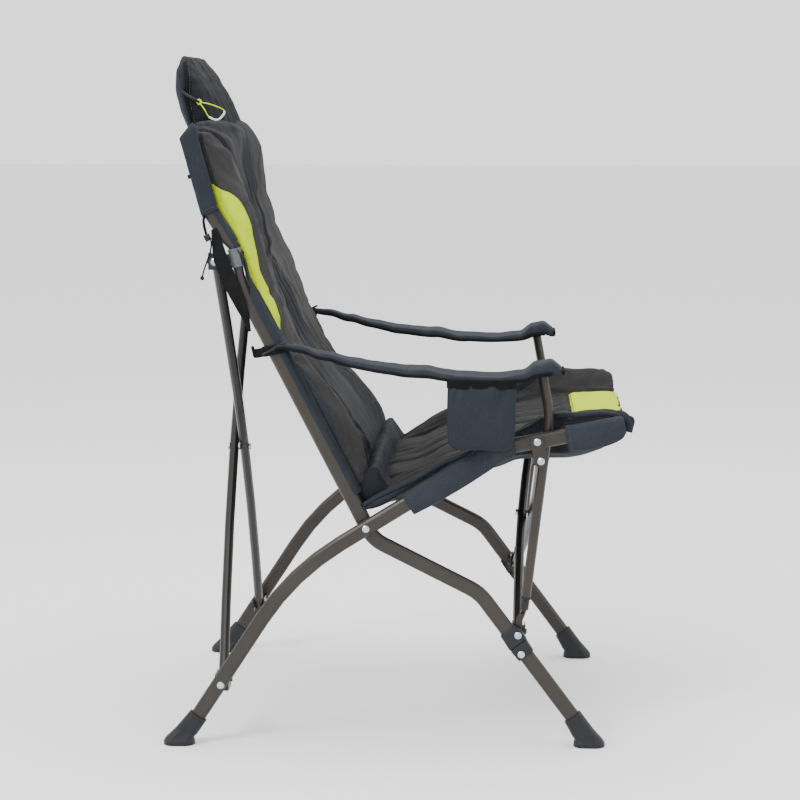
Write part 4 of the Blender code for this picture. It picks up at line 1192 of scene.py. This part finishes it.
def make_arm_wrap(side):
    """The webbing that holds the arm's end round the upright, with its stitched tail standing behind."""
    word = SIDES[side]
    body = word + "_upright"
    base, _ = upright_at(0.6565)
    ahead, up = Vector((0.975, 0, 0.22)), Vector((-0.22, 0, 0.975))
    path = []
    for k in range(33):
        a = 2 * math.pi * k / 32
        along_way = bent(math.cos(a), 0.7) * 0.0190
        out = bent(math.sin(a), 0.7) * 0.0112
        path.append(base + ahead * along_way + Vector((0, side * UPRIGHT_Y + out, 0)))
    section = rounded(0.016, 0.0026, 0.001)
    piece(word + "_arm_wrap", skin(sweep(path, section, up)), "strap", body)
    behind = base - ahead * 0.021 + Vector((0, side * (UPRIGHT_Y + 0.004), 0))
    tail = [behind + ahead * 0.004, behind - ahead * 0.006, behind - ahead * 0.0130 + up * 0.001]
    ribbon(word + "_arm_wrap_tail", tail, 0.015, 0.0055, "strap", body, across=up)
    stub = [behind - ahead * 0.0125 + up * s for s in (-0.004, 0.004, 0.013)]
    ribbon(word + "_arm_wrap_stub", stub, 0.0045, 0.009, "binding", body, across=ahead)
    tape = [base + ahead * s + up * rise + Vector((0, side * (UPRIGHT_Y + 0.0135), 0))
            for s, rise in ((-0.020, -0.003), (0.0, 0.002), (0.014, 0.0075), (0.024, 0.0095))]
    ribbon(word + "_arm_wrap_edge", tape, 0.0035, 0.0020, "plastic", body, across=up)


POCKET_WRINKLES = [((0.128, 0.612), (0.118, 0.560), 0.0030, 0.0045), ((0.140, 0.614), (0.170, 0.556), 0.0034, 0.0050),
                   ((0.166, 0.614), (0.192, 0.570), 0.0030, 0.0045), ((0.152, 0.612), (0.136, 0.528), 0.0024, 0.0060),
                   ((0.112, 0.600), (0.098, 0.565), 0.0024, 0.0040), ((0.178, 0.590), (0.160, 0.520), 0.0022, 0.0055)]


def make_pocket():
    """The cup pocket on the right arm: a squared bag with a taped rim."""
    rings = []
    rows, columns = 40, 72
    y_mid, deep = -0.3388, 0.0158
    for r in range(rows + 1):
        t = r / rows
        z = 0.501 + 0.109 * t
        floor_round = math.sqrt(max(0.0, 1 - max(0.0, 1 - t / 0.16) ** 2))
        half = (0.0525 + 0.0020 * t) * (0.72 + 0.28 * floor_round) + 0.0016 * math.sin(math.pi * t)
        ring = []
        for c in range(columns):
            a = 2 * math.pi * c / columns
            x = 0.1455 + 0.001 * t + half * bent(math.cos(a), 0.45)
            bow = 0.0030 * math.sin(math.pi * t) + 0.0030 * lumps(x * 26, z * 24, 9.0)
            y = y_mid + (deep * (0.55 + 0.45 * floor_round) + bow) * bent(math.sin(a), 0.55)
            sag = 0.0022 * lumps(x * 30, 1.0, 2.0) * (1 - t)
            if y < y_mid:
                y += 0.0034 - 1.3 * creases((x, z), POCKET_WRINKLES)
            ring.append(Vector((x, max(y, -0.3575), z + sag)))
        rings.append(ring)
    bm = skin(rings, caps=False)
    close_ring(bm, 0, columns)
    pocket = piece("cup_pocket_bag", bm, "navy", "right_post")
    thicken(pocket, -1, 0.0014)
    subdivide(pocket)
    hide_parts("cup_pocket")
    # The rim is the pocket's real black tape, drawn 15 mm tall so that its black also stands as painted shade under
    # the arm along the pocket's top.
    rim = [p - Vector((0, 0, 0.002)) for p in rings[-1]] + [rings[-1][0] - Vector((0, 0, 0.002))]
    section = rounded(0.015, 0.0032, 0.0012)
    piece("cup_pocket_rim", skin(sweep(rim, section, (0, 0, 1))), "binding", "right_post")


# ---------------------------------------------------------------- sleeves, straps and cords on the upper back
def make_top_sleeve(side):
    """The closed sleeve over the end of the upper tube, with its hem and tag."""
    word = SIDES[side]
    rings = []
    steps = 40
    for r in range(steps + 1):
        t = r / steps
        z = SLEEVE_FOOT + (SLEEVE_HEAD - SLEEVE_FOOT) * t
        base, forward = upright_at(z)
        close = math.sqrt(max(0.0, 1 - smooth(0.96, 1.0, t) ** 2)) * 0.35 + 0.65
        ring = []
        for k in range(24):
            a = 2 * math.pi * k / 24
            ahead = bent(math.cos(a), 0.7) * (0.0134 if math.cos(a) > 0 else 0.0138)
            out = bent(math.sin(a), 0.6) * 0.0098
            wrinkle = 0.0012 * lumps(z * 60, a, side)
            rise = 0.55 * (ahead + 0.012) * smooth(0.88, 1.0, t)
            ring.append(base + forward * ahead * close
                        + Vector((0, side * UPRIGHT_Y + out * close + wrinkle, rise)))
        rings.append(ring)
    bm = skin(rings, caps=False)
    close_ring(bm, steps * 24, 24)
    sleeve = piece(word + "_top_sleeve", bm, "navy", word + "_upright")
    thicken(sleeve, 1)
    hem = [back_point(side * (UPRIGHT_Y + 0.0113), ahead, 0.8835) for ahead in (-0.012, -0.004, 0.004, 0.011)]
    stitches(word + "_top_sleeve_hem", hem, word + "_upright", dense=12)
    tag = [back_point(side * UPRIGHT_Y, -0.0145 - out, 0.9395) for out in (0.0, 0.002, 0.0045)]
    ribbon(word + "_sleeve_tag", tag, 0.007, 0.003, "binding", word + "_upright", across=(-0.25, 0, 0.97), count=6)


STRAP_LINE = [(-0.2860, 0.8520, 0.010), (-0.2815, 0.8344, 0.016), (-0.2750, 0.8050, 0.024),
              (-0.2590, 0.7651, 0.025), (-0.2425, 0.7280, 0.019), (-0.2350, 0.7053, 0.011), (-0.2304, 0.6850, 0.004)]
ELASTIC = [(-0.2990, 0.8790), (-0.3024, 0.8647), (-0.2993, 0.8470), (-0.2955, 0.8360)]
CORD_TAIL = [(-0.2925, 0.8380), (-0.2895, 0.8300), (-0.2914, 0.8150), (-0.2972, 0.7989), (-0.3023, 0.7843),
             (-0.3048, 0.7730)]


def make_back_strap(side):
    """Wide webbing that runs down behind the collar, its ladder-lock, elastic loop and knotted tail."""
    word = SIDES[side]
    body = word + "_upright"
    lanes = [0.3010, 0.3050, 0.3065, 0.3065, 0.3050, 0.2980, 0.2900]
    points = [Vector((x, side * lane, z)) for (x, z, _), lane in zip(STRAP_LINE, lanes)]
    widths = [(k / 6, w) for k, (_, _, w) in enumerate(STRAP_LINE)]
    rings = []
    for k, point in enumerate(spline(points, 48)):
        wide = straight(widths, k / 48)
        across = Vector((0.93, 0, 0.36))
        rings.append([point + across * a + Vector((0, b, 0)) for a, b in rounded(wide, 0.0022, 0.0009)])
    piece(word + "_back_strap", skin(rings), "strap", body)
    loop = [Vector((x, side * 0.302, z)) for x, z in ELASTIC]
    round_cord(word + "_elastic_loop", loop, 0.0023, "binding", body)
    lock = [Vector((-0.2985, side * 0.3045, 0.8430)), Vector((-0.2935, side * 0.3045, 0.8330))]
    ribbon(word + "_ladder_lock", lock, 0.0105, 0.004, "plastic", body, count=6,
           across=(0.9, 0, 0.4))
    tail = spline([Vector((x, side * 0.3085, z)) for x, z in CORD_TAIL], 40)
    cord = round_cord(word + "_strap_cord", tail, 0.0013, "binding", body, count=40)
    knot = [tail[-1] + Vector((0.0022 * math.cos(a), side * 0.0018 * math.sin(1.3 * a), 0.0022 * math.sin(a)))
            for a in (0, 1.4, 2.8, 4.2, 5.6, 7.0)]
    tied = round_cord(word + "_cord_knot", knot, 0.0015, "binding", body)


# ---------------------------------------------------------------- assembly
def narrows(obj):
    """Gives the piece a mesh of its own."""
    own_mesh(obj)


MATERIALS["pillow"] = fabric("pillow_front_cloth", shade(CHARCOAL, 0.65), crumple=0.9,
                             zones=(("pouch", shade(NAVY, 0.75)),))
make_camera()
make_studio()
dress_frame()
back = make_back()
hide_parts("back_pad")
pillow = make_pillow()
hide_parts("head_pillow")
for part in [back, pillow] + sew_back(back) + make_zip():
    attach(part, "right_upright")
    narrows(part)
seat = make_seat()
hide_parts("seat_pad")
cover = Surface(seat)
rims = [make_seat_rim(side, cover) for side in (-1, 1)]
rims += [make_seat_corner(side) for side in (-1, 1)]
for part in [seat, make_crease_gusset()] + rims + sew_seat(cover):
    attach(part, "right_rail")
    narrows(part)
for side in (-1, 1):
    word = SIDES[side]
    make_rail_sleeve(word + "_rear_rail_sleeve", 0.026, 0.200, side, 0.010)
    make_rail_sleeve(word + "_front_rail_sleeve", 0.283, 0.3765, side, 0.014)
    make_arm_sling(side)
    make_arm_wrap(side)
    make_top_sleeve(side)
    make_side_band(side)
    make_back_strap(side)
make_pocket()
